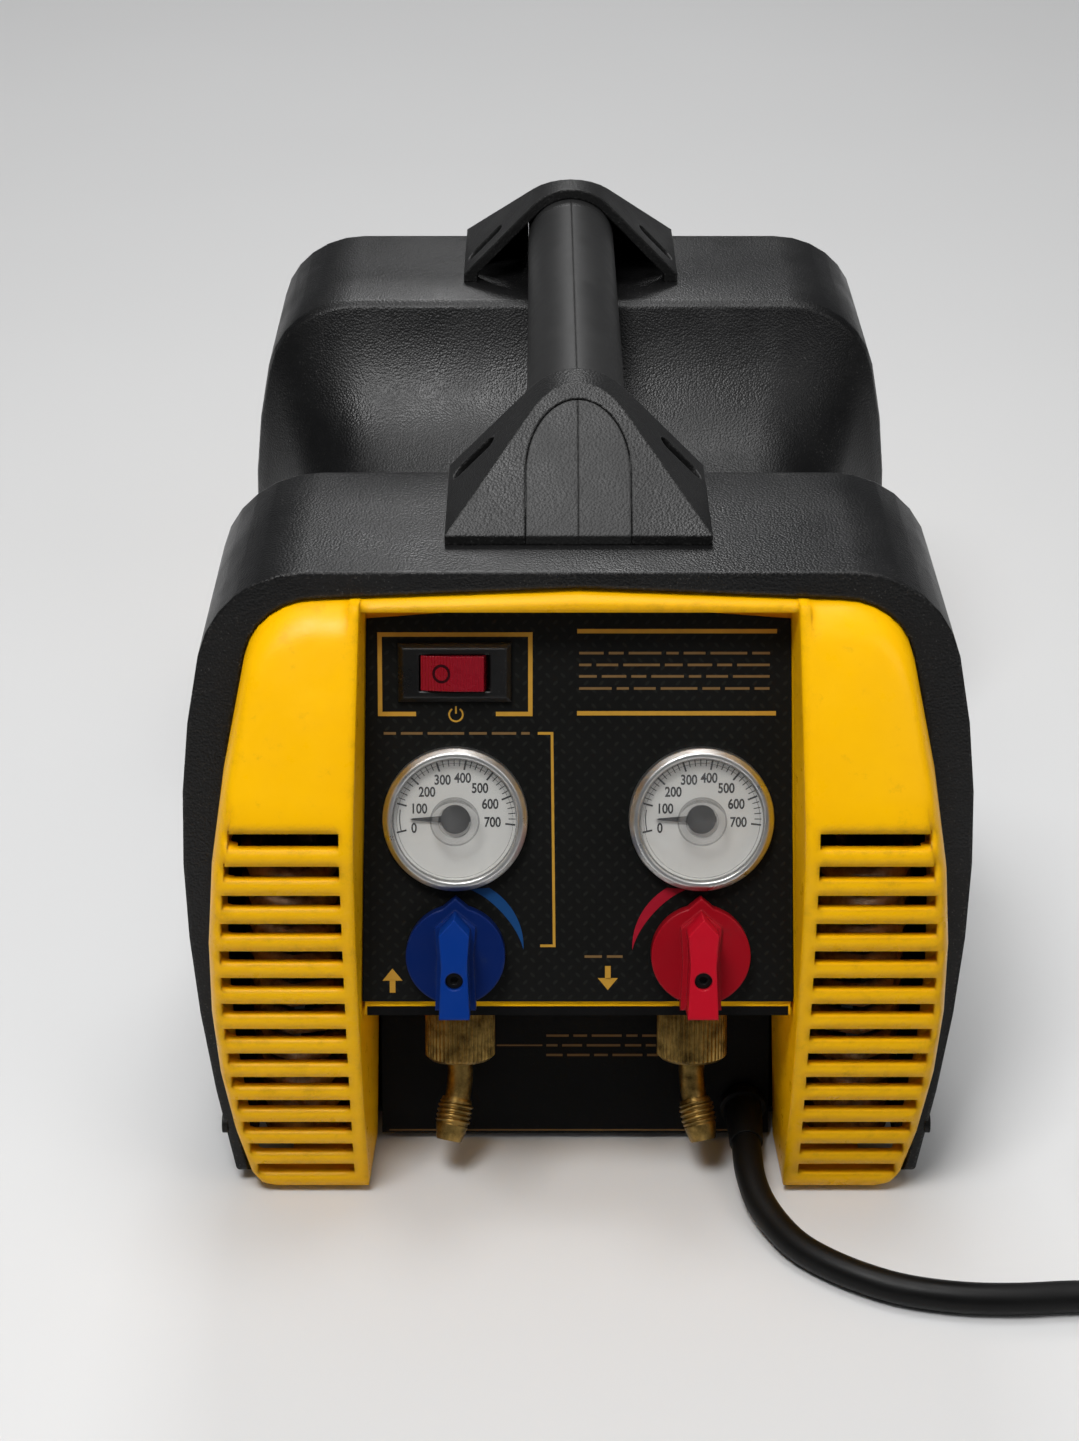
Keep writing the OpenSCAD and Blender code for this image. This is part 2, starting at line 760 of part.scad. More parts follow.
// Connector plate at the back of the lower recess, with a flange on the chassis tray
FLANGE_L = 16;
FLANGE_T = 2;
GLAND_U = -46.5;
GLAND_X = 54;
GLAND_DIP = 5;
GLAND_R = 6;
GLAND_TIP_R = 5.3;
GLAND_L = 18;
COLLAR_R = 7.4;
COLLAR_T = 2.5;
GLAND_BACK = 2.7;
GLAND_HOLE_GAP = 0.3;
CORD_R = 4.7;
module at_gland() {
    mouth = plate_point(GLAND_U, -connector_n);
    translate([GLAND_X, mouth[0], mouth[1]])
        rotate([90 + GLAND_DIP, 0, 0])
            children();
}
module connector_plate() {
    flange_z = TRAY_Z + tray_t;
    flange_u = (flange_z - plate_z + connector_n * sin(plate_tilt)) / cos(plate_tilt);
    flange_y = plate_point(flange_u, -connector_n)[0];
    back_y = plate_point(-SOFFIT_U - SOFFIT_T, -connector_n - connector_t)[0];
    half_w = column_x - panel_gap - (face_y + back_y) * tan(column_draft);
    color(LABEL_BLACK)
        difference() {
            union() {
                intersection() {
                    on_plate()
                        box(
                            [-half_w, -plate_z, -connector_n - connector_t],
                            [half_w, -SOFFIT_U - SOFFIT_T, -connector_n]
                        );
                    box([-beyond, -beyond, panel_foot_z], [beyond, beyond, beyond]);
                }
                box(
                    [-half_w, flange_y + connector_t, flange_z],
                    [half_w, flange_y + FLANGE_L, flange_z + FLANGE_T]
                );
            }
            at_gland()
                translate([0, 0, -beyond / 2])
                    cylinder(r = GLAND_R + GLAND_HOLE_GAP, h = beyond);
        }
}

// Screws that hold each panel to the chassis tray below and to the shell's sides
SCREW_X = 80;
SCREW_Y = 142;
SCREW_R = 2;
SCREW_HEAD_R = 4;
SCREW_HEAD_H = 1.8;
SCREW_TOP = TRAY_Z + tray_t;
SIDE_SCREW_Z = 20;
SIDE_SCREW_R = 1.6;
SIDE_SCREW_HEAD_R = 3.2;
SIDE_SCREW_IN = 0.6;
SIDE_SCREW_L = 9;
module tray_screw() {
    translate([SCREW_X, -SCREW_Y, panel_foot_z]) {
        translate([0, 0, -SCREW_HEAD_H])
            cylinder(r = SCREW_HEAD_R, h = SCREW_HEAD_H);
        cylinder(r = SCREW_R, h = SCREW_TOP - panel_foot_z);
    }
}
module side_screw() {
    x = side_x_at(shell_section(shell_end_y, 0), SIDE_SCREW_Z);
    translate([x - SIDE_SCREW_IN, rim_lip / 2 - rim_y(SIDE_SCREW_Z), SIDE_SCREW_Z]) {
        rotate([0, 90, 0])
            cylinder(r = SIDE_SCREW_HEAD_R, h = SCREW_HEAD_H);
        rotate([0, -90, 0])
            cylinder(r = SIDE_SCREW_R, h = SIDE_SCREW_L);
    }
}
module panel_screws() {
    color(STEEL)
        for (end = [0, 1])
            mirror([0, end, 0])
                both_sides() {
                    tray_screw();
                    side_screw();
                }
}

// Handle: two halves with a seam in the middle, held by a bracket at each end
BLOCK_HALF_W = grip_r;
HANDLE_FRONT_Y = handle_mid_y - handle_half_l;
GRIP_FRONT_Y = HANDLE_FRONT_Y + bracket_l;
GRIP_REAR_Y = 2 * handle_mid_y - GRIP_FRONT_Y;
ARCH_STEPS = 8;
function tent(inset) =
    let (
        r = ridge_r - inset,
        lean = 90 - bracket_side_slope,
        arch = [for (i = [0:ARCH_STEPS])
            let (a = lean + (180 - 2 * lean) * i / ARCH_STEPS)
            [r * cos(a), grip_z + r * sin(a)]],
        foot_x = arch[0][0] + (arch[0][1] - shell_top_z - bracket_edge_h) / tan(bracket_side_slope)
    )
    concat(
        [[foot_x, shell_top_z - inset], [foot_x, shell_top_z + bracket_edge_h]],
        arch,
        [[-foot_x, shell_top_z + bracket_edge_h], [-foot_x, shell_top_z - inset]]
    );
// Space in front of the bracket's sloped outer face
module ahead_of_face(inset) {
    translate([0, HANDLE_FRONT_Y, shell_top_z + bracket_edge_h])
        rotate([bracket_face_slope, 0, 0])
            box([-beyond, -beyond, -inset], [beyond, beyond, beyond]);
    box([-beyond, -beyond, 0], [beyond, HANDLE_FRONT_Y + inset, beyond]);
}
module arch_bar(r, y0, y1) {
    translate([0, y1, grip_z])
        rotate([90, 0, 0])
            cylinder(r = r, h = y1 - y0);
    box([-r, y0, shell_top_z], [r, y1, grip_z]);
}
STRAP_Y = 38;
STRAP_DOWN = 25.5;
module strap_slot() {
    lean = 90 - bracket_side_slope;
    centre = [ridge_r * cos(lean), HANDLE_FRONT_Y + STRAP_Y, grip_z + ridge_r * sin(lean)];
    translate(centre)
        rotate([0, bracket_side_slope, 0])
            translate([STRAP_DOWN, 0, -ridge_r])
                for (end = [-1, 1]) {
                    translate([end * (strap_slot_l - strap_slot_w) / 2, 0, 0])
                        cylinder(r = strap_slot_w / 2, h = 2 * ridge_r);
                    translate([-(strap_slot_l - strap_slot_w) / 2, -strap_slot_w / 2, 0])
                        cube([strap_slot_l - strap_slot_w, strap_slot_w, 2 * ridge_r]);
                }
}
module handle_bracket() {
    difference() {
        prism_y(tent(0), HANDLE_FRONT_Y, GRIP_FRONT_Y);
        ahead_of_face(0);
        difference() {
            prism_y(tent(bracket_wall), HANDLE_FRONT_Y - over, GRIP_FRONT_Y + over);
            ahead_of_face(bracket_wall);
        }
        arch_bar(BLOCK_HALF_W + handle_gap, HANDLE_FRONT_Y - over, GRIP_FRONT_Y + over);
        both_sides()
            strap_slot();
    }
}
module at_rear_end() {
    translate([0, 2 * handle_mid_y, 0])
        mirror([0, 1, 0])
            children();
}
module handle_block() {
    difference() {
        arch_bar(BLOCK_HALF_W, HANDLE_FRONT_Y, GRIP_FRONT_Y);
        ahead_of_face(0);
    }
}
module handle_half(side) {
    intersection() {
        union() {
            handle_block();
            at_rear_end()
                handle_block();
            translate([0, GRIP_REAR_Y, grip_z])
                rotate([90, 0, 0])
                    difference() {
                        cylinder(r = grip_r, h = GRIP_REAR_Y - GRIP_FRONT_Y);
                        translate([0, 0, -over])
                            cylinder(r = grip_r - grip_wall, h = GRIP_REAR_Y - GRIP_FRONT_Y + 2 * over);
                    }
        }
        box([side > 0 ? 0 : -beyond, -beyond, 0], [side > 0 ? beyond : 0, beyond, beyond]);
    }
}
module handle_left_half() {
    color(HANDLE_GREY)
        handle_half(LEFT);
}
module handle_right_half() {
    color(HANDLE_GREY)
        handle_half(RIGHT);
}
module front_handle_bracket() {
    color(HANDLE_GREY)
        handle_bracket();
}
module rear_handle_bracket() {
    color(HANDLE_GREY)
        at_rear_end()
            handle_bracket();
}
HANDLE_SCREW_X = 8;
HANDLE_SCREW_IN = 28;
HANDLE_SCREW_R = 2.5;
HANDLE_SCREW_HEAD_R = 5;
HANDLE_SCREW_HEAD_H = 3;
HANDLE_SCREW_L = 20;
module handle_screws() {
    under = shell_top_z - shell_wall;
    color(STEEL)
        for (side = [LEFT, RIGHT])
            for (y = [HANDLE_FRONT_Y + HANDLE_SCREW_IN, 2 * handle_mid_y - HANDLE_FRONT_Y - HANDLE_SCREW_IN])
                translate([side * HANDLE_SCREW_X, y, under]) {
                    translate([0, 0, -HANDLE_SCREW_HEAD_H])
                        cylinder(r = HANDLE_SCREW_HEAD_R, h = HANDLE_SCREW_HEAD_H);
                    cylinder(r = HANDLE_SCREW_R, h = HANDLE_SCREW_L);
                }
}

// Rubber feet below the tray
FOOT_X = 78;
FOOT_Y = 116;
FOOT_R = 11;
FOOT_TAPER = 1.5;
module rubber_feet() {
    color(RUBBER)
        for (side = [LEFT, RIGHT])
            for (end = [LEFT, RIGHT])
                translate([side * FOOT_X, end * FOOT_Y, 0])
                    cylinder(r1 = FOOT_R - FOOT_TAPER, r2 = FOOT_R, h = TRAY_Z);
}

// Power switch
SWITCH_BODY_W = 26;
SWITCH_BODY_H = 13;
ROCKER_END_GAP = 1.1;
ROCKER_SIDE_GAP = 0.3;
ROCKER_DROP = 6;
ROCKER_END_H = 4.4;
ROCKER_MID_H = 5.8;
ROCKER_WELL = 8;
module switch_body_outline(gap, low, high) {
    box(
        [-side_x - SWITCH_BODY_W / 2 - gap, switch_u - SWITCH_BODY_H / 2 - gap, low],
        [-side_x + SWITCH_BODY_W / 2 + gap, switch_u + SWITCH_BODY_H / 2 + gap, high]
    );
}
module switch_bezel_blank() {
    half_w = switch_w / 2;
    chamfer = switch_t / 2;
    intersection() {
        translate([-side_x, switch_u + switch_h / 2, plate_t])
            rotate([90, 0, 0])
                linear_extrude(switch_h)
                    polygon([[-half_w, 0], [half_w, 0], [half_w, chamfer], [half_w - chamfer, switch_t],
                        [-half_w + chamfer, switch_t], [-half_w, chamfer]]);
        translate([-side_x - half_w, switch_u, plate_t])
            rotate([90, 0, 90])
                linear_extrude(switch_w)
                    polygon([[-switch_h / 2, 0], [switch_h / 2, 0], [switch_h / 2, chamfer],
                        [switch_h / 2 - chamfer, switch_t], [chamfer - switch_h / 2, switch_t],
                        [-switch_h / 2, chamfer]]);
    }
}
module switch_housing() {
    color(LABEL_BLACK)
        on_plate()
            difference() {
                union() {
                    switch_bezel_blank();
                    switch_body_outline(0, -switch_depth, plate_t);
                }
                translate([-side_x, switch_u, plate_t + switch_t - ROCKER_WELL])
                    box(
                        [-rocker_l / 2 - ROCKER_END_GAP, -rocker_w / 2 - ROCKER_SIDE_GAP, 0],
                        [rocker_l / 2 + ROCKER_END_GAP, rocker_w / 2 + ROCKER_SIDE_GAP, ROCKER_WELL + over]
                    );
            }
}
module switch_rocker() {
    half = rocker_l / 2;
    color(RED)
        on_plate()
            translate([-side_x, switch_u + rocker_w / 2, plate_t])
                rotate([90, 0, 0])
                    rotate([0, 0, rocker_tilt])
                        linear_extrude(rocker_w)
                            polygon([[-half, switch_t - ROCKER_DROP], [half, switch_t - ROCKER_DROP],
                                [half, ROCKER_END_H], [0, ROCKER_MID_H], [-half, ROCKER_END_H]]);
}

// Pressure gauges
DIAL_N = 0.8;
NEEDLE_GAP = 0.4;
NEEDLE_T = 0.5;
NEEDLE_W = 1.6;
NEEDLE_TAIL = 4.5;
NEEDLE_HUB_R = 4.3;
NEEDLE_PIN_R = 0.8;
DIAL_PIN_GAP = 0.06;
GAUGE_STEM_R = 5;
GAUGE_STEM_L = 8;
BEZEL_ROUND = 1.5;
DIAL_EDGE_GAP = 0.1;
module at_gauge(side) {
    on_plate()
        translate([side * side_x, gauge_u, 0])
            children();
}
module gauge_case(side) {
    color(STEEL)
        at_gauge(side)
            difference() {
                union() {
                    translate([0, 0, -gauge_case_d])
                        cylinder(r = gauge_case_r, h = gauge_case_d + plate_t + over);
                    rotate_extrude()
                        polygon([[0, plate_t], [gauge_bezel_r, plate_t],
                            [gauge_bezel_r, plate_t + gauge_bezel_h - BEZEL_ROUND],
                            [gauge_bezel_r - BEZEL_ROUND, plate_t + gauge_bezel_h],
                            [0, plate_t + gauge_bezel_h]]);
                    translate([0, 0, -gauge_case_d - GAUGE_STEM_L])
                        cylinder(r = GAUGE_STEM_R, h = GAUGE_STEM_L + over);
                }
                translate([0, 0, plate_t + DIAL_N])
                    cylinder(r = gauge_well_r, h = beyond);
                translate([0, 0, -DIAL_N])
                    cylinder(r = NEEDLE_PIN_R + DIAL_PIN_GAP, h = beyond);
            }
}
module gauge_dial(side) {
    color("white")
        at_gauge(side)
            translate([0, 0, plate_t + DIAL_N])
                difference() {
                    cylinder(r = gauge_well_r - DIAL_EDGE_GAP, h = dial_t);
                    translate([0, 0, -over])
                        cylinder(r = NEEDLE_PIN_R + DIAL_PIN_GAP, h = dial_t + 2 * over);
                }
}
module gauge_lens(side) {
    color([0.9, 0.92, 0.95, 0.35])
        at_gauge(side)
            translate([0, 0, plate_t + gauge_bezel_h - lens_t]) {
                cylinder(r = gauge_well_r, h = lens_t);
                cylinder(r = lens_boss_r, h = lens_t + lens_boss_h);
            }
}
module needle(side) {
    color("black")
        at_gauge(side) {
            translate([0, 0, plate_t + DIAL_N + dial_t + NEEDLE_GAP]) {
                cylinder(r = NEEDLE_HUB_R, h = 2 * NEEDLE_T);
                linear_extrude(NEEDLE_T)
                    polygon([[-needle_l, 0], [0, -NEEDLE_W / 2], [NEEDLE_TAIL, -NEEDLE_W / 2],
                        [NEEDLE_TAIL, NEEDLE_W / 2], [0, NEEDLE_W / 2]]);
            }
            cylinder(r = NEEDLE_PIN_R, h = plate_t + DIAL_N + dial_t + NEEDLE_GAP + NEEDLE_T);
        }
}
module inlet_gauge_case() {
    gauge_case(LEFT);
}
module inlet_gauge_dial() {
    gauge_dial(LEFT);
}
module inlet_gauge_lens() {
    gauge_lens(LEFT);
}
module inlet_needle() {
    needle(LEFT);
}
module outlet_gauge_case() {
    gauge_case(RIGHT);
}
module outlet_gauge_dial() {
    gauge_dial(RIGHT);
}
module outlet_gauge_lens() {
    gauge_lens(RIGHT);
}
module outlet_needle() {
    needle(RIGHT);
}

// Valve knobs with a pointer bar, screw and stem
KNOB_LIFT = 0.6;
BAR_ARROW = 5;
BAR_WAIST_W = 7.6;
NIB_HALF_W = 5.4;
NIB_IN = 1.8;
NIB_OUT = 2.8;
BAR_BASE_SPREAD = 1.6;
KNOB_SCREW_R = 2.6;
KNOB_SCREW_DOWN = 5;
KNOB_SCREW_H = 3;
KNOB_SCREW_U = -4.5;
STEM_END_N = 40;
module at_knob(side) {
    on_plate()
        translate([side * side_x, knob_u, plate_t + KNOB_LIFT])
            children();
}
module bar_outline(grow) {
    tail = knob_bar_w / 2 + grow;
    waist = BAR_WAIST_W / 2 + grow;
    polygon([[-tail, -knob_tail], [tail, -knob_tail], [waist, 0], [tail, knob_tip - BAR_ARROW], [0, knob_tip],
        [-tail, knob_tip - BAR_ARROW], [-waist, 0]]);
}
module pointer_nib() {
    linear_extrude(knob_disc_h)
        polygon([[-NIB_HALF_W, knob_r - NIB_IN], [NIB_HALF_W, knob_r - NIB_IN], [0, knob_r + NIB_OUT]]);
}
module knob(side, tint) {
    color(tint)
        at_knob(side)
            difference() {
                union() {
                    cylinder(r = knob_r, h = knob_disc_h);
                    pointer_nib();
                    linear_extrude(knob_disc_h + BAR_BASE_SPREAD)
                        bar_outline(BAR_BASE_SPREAD);
                    linear_extrude(knob_h - KNOB_LIFT)
                        bar_outline(0);
                }
                translate([0, KNOB_SCREW_U, knob_h - KNOB_LIFT - KNOB_SCREW_DOWN])
                    cylinder(r = KNOB_SCREW_R, h = beyond);
                translate([0, 0, -over])
                    cylinder(r = stem_r, h = knob_disc_h + over);
            }
}
module knob_screw(side) {
    color(LABEL_BLACK)
        at_knob(side)
            translate([0, KNOB_SCREW_U, knob_h - KNOB_LIFT - KNOB_SCREW_DOWN])
                difference() {
                    cylinder(r = KNOB_SCREW_R, h = KNOB_SCREW_H);
                    translate([0, 0, KNOB_SCREW_H / 2])
                        cylinder(r = KNOB_SCREW_R / 2, h = KNOB_SCREW_H, $fn = 6);
                }
}
module valve_stem(side) {
    color(STEEL)
        on_plate()
            translate([side * side_x, knob_u, -STEM_END_N])
                cylinder(r = stem_r, h = STEM_END_N + plate_t + KNOB_LIFT + knob_disc_h);
}
module inlet_knob() {
    knob(LEFT, BLUE);
}
module inlet_knob_screw() {
    knob_screw(LEFT);
}
module inlet_valve_stem() {
    valve_stem(LEFT);
}
module outlet_knob() {
    knob(RIGHT, RED);
}
module outlet_knob_screw() {
    knob_screw(RIGHT);
}
module outlet_valve_stem() {
    valve_stem(RIGHT);
}

// Valve bodies: a block on the soffit, a bore for the stem and a spigot for the union nut
VALVE_HALF_W = 13;
VALVE_TOP_U = 30;
VALVE_FRONT_N = 20;
VALVE_BACK_N = 47;
SPIGOT_BORE_R = 5.2;
module valve_body(side) {
    color(BRASS)
        difference() {
            union() {
                on_plate()
                    translate([side * side_x, 0, 0])
                        box(
                            [-VALVE_HALF_W, -SOFFIT_U, -VALVE_BACK_N],
                            [VALVE_HALF_W, VALVE_TOP_U, -VALVE_FRONT_N]
                        );
                at_port(side)
                    cylinder(r = spigot_r, h = spigot_l);
            }
            at_port(side)
                cylinder(r = SPIGOT_BORE_R, h = spigot_l + over);
            on_plate()
                translate([side * side_x, knob_u, -STEM_END_N - over])
                    cylinder(r = stem_r + running_fit, h = STEM_END_N);
        }
}
module inlet_valve_body() {
    valve_body(LEFT);
}
module outlet_valve_body() {
    valve_body(RIGHT);
}

// Capillary from each gauge down to its valve body
LINE_R = 1.8;
LINE_BEND_R = 6;
module gauge_line(side) {
    stem_end = gauge_case_d + GAUGE_STEM_L;
    color(COPPER)
        on_plate()
            translate([side * side_x, gauge_u, -stem_end - LINE_BEND_R]) {
                translate([0, -LINE_BEND_R, 0])
                    rotate([90, 0, 0])
                        cylinder(r = LINE_R, h = gauge_u - LINE_BEND_R - VALVE_TOP_U);
                translate([0, -LINE_BEND_R, LINE_BEND_R])
                    rotate([0, 90, 0])
                        rotate_extrude(angle = 90)
                            translate([LINE_BEND_R, 0])
                                circle(r = LINE_R);
            }
}
module inlet_gauge_line() {
    gauge_line(LEFT);
}
module outlet_gauge_line() {
    gauge_line(RIGHT);
}

// Union nut, bent port tube with its flare thread, and filter screen
COLLAR_GAP = 0.3;
PORT_COLLAR_R = 7.4;
TUBE_STRAIGHT = 4;
TUBE_BEND_R = 24;
TUBE_BORE_R = 2.4;
FLARE_CONE_L = 5;
FLARE_TIP_R = 4;
FLARE_NECK_R = 4.6;
FILTER_R = 4.6;
FILTER_WALL = 0.6;
FILTER_L = 6;
KNURLS = 48;
KNURL_R = 0.5;
module union_nut(side) {
    color(BRASS)
        at_port(side)
            difference() {
                translate([0, 0, nut_top])
                    cylinder(r = nut_r, h = nut_l);
                translate([0, 0, nut_top - over])
                    cylinder(r = spigot_r + running_fit, h = nut_l - nut_end + over);
                cylinder(r = tube_r + running_fit, h = beyond);
            }
}
module port_tube(side) {
    collar_top = spigot_l + COLLAR_GAP;
    collar_end = nut_top + nut_l - nut_end - running_fit;
    bend_z = nut_top + nut_l + TUBE_STRAIGHT;
    color(BRASS)
        at_port(side)
            rotate([0, 0, -side * tube_splay]) {
                difference() {
                    union() {
                        translate([0, 0, collar_top])
                            cylinder(r = PORT_COLLAR_R, h = collar_end - collar_top);
                        translate([0, 0, collar_top])
                            cylinder(r = tube_r, h = bend_z - collar_top);
                    }
                    translate([0, 0, collar_top - over])
                        cylinder(r = TUBE_BORE_R, h = bend_z - collar_top + 2 * over);
                }
                translate([0, TUBE_BEND_R, bend_z])
                    rotate([90, 0, -90])
                        rotate_extrude(angle = tube_bend)
                            translate([TUBE_BEND_R, 0])
                                difference() {
                                    circle(r = tube_r);
                                    circle(r = TUBE_BORE_R);
                                }
                translate([0, TUBE_BEND_R * (1 - cos(tube_bend)), bend_z + TUBE_BEND_R * sin(tube_bend)])
                    rotate([-tube_bend, 0, 0])
                        rotate_extrude()
                            polygon([[TUBE_BORE_R, 0], [FLARE_NECK_R, 0], [flare_r, flare_r - FLARE_NECK_R],
                                [flare_r, flare_l], [FLARE_TIP_R, flare_l + FLARE_CONE_L],
                                [TUBE_BORE_R, flare_l + FLARE_CONE_L]]);
            }
}
module filter_screen(side) {
    low = spigot_l + COLLAR_GAP;
    color(STEEL)
        at_port(side)
            translate([0, 0, low - FILTER_L])
                difference() {
                    cylinder(r = FILTER_R, h = FILTER_L);
                    translate([0, 0, FILTER_WALL])
                        cylinder(r = FILTER_R - FILTER_WALL, h = FILTER_L);
                }
}
module inlet_nut() {
    union_nut(LEFT);
}
module inlet_port_tube() {
    port_tube(LEFT);
}
module inlet_filter() {
    filter_screen(LEFT);
}
module outlet_nut() {
    union_nut(RIGHT);
}
module outlet_port_tube() {
    port_tube(RIGHT);
}
module outlet_filter() {
    filter_screen(RIGHT);
}

// Compressor: crankcase with two opposed finned cylinders
BASE_Z = 24;
BASE_T = 3;
CRANK_FOOT_HALF_W = 30;
FIN_COUNT = 6;
FIN_T = 2;
HEAD_HALF = 28;
HEAD_FIN_COUNT = 5;
HEAD_FIN_T = 3;
HEAD_FIN_H = 5;
BARREL_Y = -crankcase_l / 2;
module along_y(y0, r, length) {
    translate([0, y0 + length, drive_z])
        rotate([90, 0, 0])
            cylinder(r = r, h = length);
}
module at_barrel(side) {
    translate([side * crankcase_r, BARREL_Y, drive_z])
        rotate([0, side * 90, 0])
            children();
}
module crankcase() {
    color(CAST) {
        along_y(-crankcase_l, crankcase_r - over, crankcase_l);
        box(
            [-crankcase_r, BARREL_Y - barrel_r, drive_z - barrel_r],
            [crankcase_r, BARREL_Y + barrel_r, drive_z + barrel_r]
        );
        box([-CRANK_FOOT_HALF_W, -crankcase_l, BASE_Z + BASE_T], [CRANK_FOOT_HALF_W, 0, drive_z]);
    }
}
module cylinder_barrel(side) {
    fin_step = barrel_l / FIN_COUNT;
    color(CAST)
        at_barrel(side) {
            cylinder(r = barrel_r, h = barrel_l);
            for (i = [0:FIN_COUNT - 1])
                translate([0, 0, fin_step * (i + 1) - FIN_T])
                    cylinder(r = fin_r, h = FIN_T);
        }
}
module cylinder_head(side) {
    fin_step = (2 * HEAD_HALF - HEAD_FIN_T) / (HEAD_FIN_COUNT - 1);
    color(CAST)
        at_barrel(side)
            translate([0, 0, barrel_l]) {
                box([-HEAD_HALF, -HEAD_HALF, 0], [HEAD_HALF, HEAD_HALF, head_t - HEAD_FIN_H]);
                for (i = [0:HEAD_FIN_COUNT - 1])
                    translate([0, fin_step * i - HEAD_HALF, 0])
                        box([-HEAD_HALF, 0, 0], [HEAD_HALF, HEAD_FIN_T, head_t]);
            }
}
module left_cylinder() {
    cylinder_barrel(LEFT);
}
module right_cylinder() {
    cylinder_barrel(RIGHT);
}
module left_cylinder_head() {
    cylinder_head(LEFT);
}
module right_cylinder_head() {
    cylinder_head(RIGHT);
}

// Motor on its base plate, shaft and fan
BASE_HALF_W = 54;
BASE_FRONT_Y = -54;
SADDLE_HALF_W = 34;
SADDLE_IN = 8;
BELL_STEP = 6;
BELL_L = 14;
SHAFT_IN = 40;
FAN_Y = 122;
FAN_HUB_R = 20;
FAN_HUB_L = 20;
BLADE_CHORD = 36;
BLADE_T = 2.4;
BLADE_CAMBER_R = 60;
module motor_housing() {
    color(CAST)
        difference() {
            union() {
                along_y(0, motor_r - BELL_STEP, motor_l);
                along_y(BELL_L, motor_r, motor_l - 2 * BELL_L);
                box(
                    [-SADDLE_HALF_W, SADDLE_IN, BASE_Z + BASE_T - over],
                    [SADDLE_HALF_W, motor_l - SADDLE_IN, drive_z]
                );
                box([-BASE_HALF_W, BASE_FRONT_Y, BASE_Z], [BASE_HALF_W, motor_l, BASE_Z + BASE_T]);
            }
            along_y(motor_l - SHAFT_IN, shaft_r + running_fit, SHAFT_IN + over);
        }
}
module motor_shaft() {
    start = motor_l - SHAFT_IN + over;
    color(STEEL)
        along_y(start, shaft_r, FAN_Y + FAN_HUB_L - start);
}
module fan_blade() {
    intersection() {
        rotate([fan_pitch, 0, 0])
            translate([FAN_HUB_R - BLADE_T, 0, -BLADE_CAMBER_R])
                rotate([0, 90, 0])
                    difference() {
                        cylinder(r = BLADE_CAMBER_R, h = fan_r);
                        translate([0, 0, -over])
                            cylinder(r = BLADE_CAMBER_R - BLADE_T, h = fan_r + 2 * over);
                    }
        rotate([fan_pitch, 0, 0])
            box([0, -BLADE_CHORD / 2, -BLADE_CHORD / 2], [fan_r, BLADE_CHORD / 2, BLADE_CHORD / 2]);
        translate([0, 0, -FAN_HUB_L / 2])
            cylinder(r = fan_r, h = FAN_HUB_L);
    }
}
module fan() {
    color(LABEL_BLACK)
        translate([0, FAN_Y + FAN_HUB_L / 2, drive_z])
            rotate([90, 0, 0])
                difference() {
                    union() {
                        translate([0, 0, -FAN_HUB_L / 2])
                            cylinder(r = FAN_HUB_R, h = FAN_HUB_L);
                        for (i = [0:fan_blades - 1])
                            rotate([0, 0, 360 * i / fan_blades])
                                fan_blade();
                    }
                    translate([0, 0, -FAN_HUB_L])
                        cylinder(r = shaft_r, h = 2 * FAN_HUB_L);
                }
}

// Fan shroud standing on the tray
SHROUD_Y = 114;
SHROUD_T = 2;
SHROUD_RING_L = 32;
SHROUD_RING_T = 2.5;
SHROUD_RIM = 6;
module fan_shroud() {
    bore = fan_r + fan_gap;
    half_w = tray_half_w - SHROUD_RIM;
    color(LABEL_BLACK)
        difference() {
            union() {
                box(
                    [-half_w, SHROUD_Y, TRAY_Z + tray_t],
                    [half_w, SHROUD_Y + SHROUD_T, drive_z + bore + SHROUD_RIM]
                );
                along_y(SHROUD_Y, bore + SHROUD_RING_T, SHROUD_RING_L);
            }
            along_y(SHROUD_Y - over, bore, SHROUD_RING_L + 2 * over);
            box([-beyond, 0, 0], [beyond, beyond, TRAY_Z + tray_t]);
        }
}

// Condenser coils: a racetrack helix in each column, led to the cylinder head
COIL_MID_Y = -127;
COIL_STRAIGHT = 30;
COIL_BEND_STEPS = 4;
COIL_SIDES = 8;
COIL_START_GAP = 0.3;
COIL_LEAD = 11;
COIL_Z = TRAY_Z + tray_t + coil_tube_r + COIL_START_GAP;
function coil_turn_points() =
    concat(
        [for (i = [0:COIL_BEND_STEPS])
            let (a = 180 + 180 * i / COIL_BEND_STEPS)
            [coil_half_w * cos(a), -COIL_STRAIGHT + coil_half_w * sin(a)]],
        [for (i = [0:COIL_BEND_STEPS])
            let (a = 180 * i / COIL_BEND_STEPS)
            [coil_half_w * cos(a), COIL_STRAIGHT + coil_half_w * sin(a)]]
    );
COIL_EXIT = [-2, COIL_LEAD, -4];
PORT_LEAD = [6, -8, 22];
PORT_END = [5, 3, 20];
function coil_path() =
    let (
        turn = coil_turn_points(),
        per_turn = len(turn),
        count = coil_turns * per_turn + COIL_BEND_STEPS + 2,
        body = [for (i = [0:count - 1])
            let (p = turn[i % per_turn])
            [coil_x + p[0], COIL_MID_Y + p[1], COIL_Z + coil_pitch * i / per_turn]],
        end = body[count - 1],
        port = [crankcase_r + barrel_l, BARREL_Y - HEAD_HALF, drive_z]
    )
    concat(
        [[coil_x - coil_half_w, COIL_MID_Y + COIL_STRAIGHT + COIL_LEAD, COIL_Z]],
        body,
        [end + COIL_EXIT, port + PORT_LEAD, port + PORT_END]
    );
module condenser_coil() {
    swept_tube(coil_path(), coil_tube_r, COIL_SIDES);
}
module right_condenser_coil() {
    color(COPPER)
        condenser_coil();
}
module left_condenser_coil() {
    color(COPPER)
        mirror([1, 0, 0])
            condenser_coil();
}

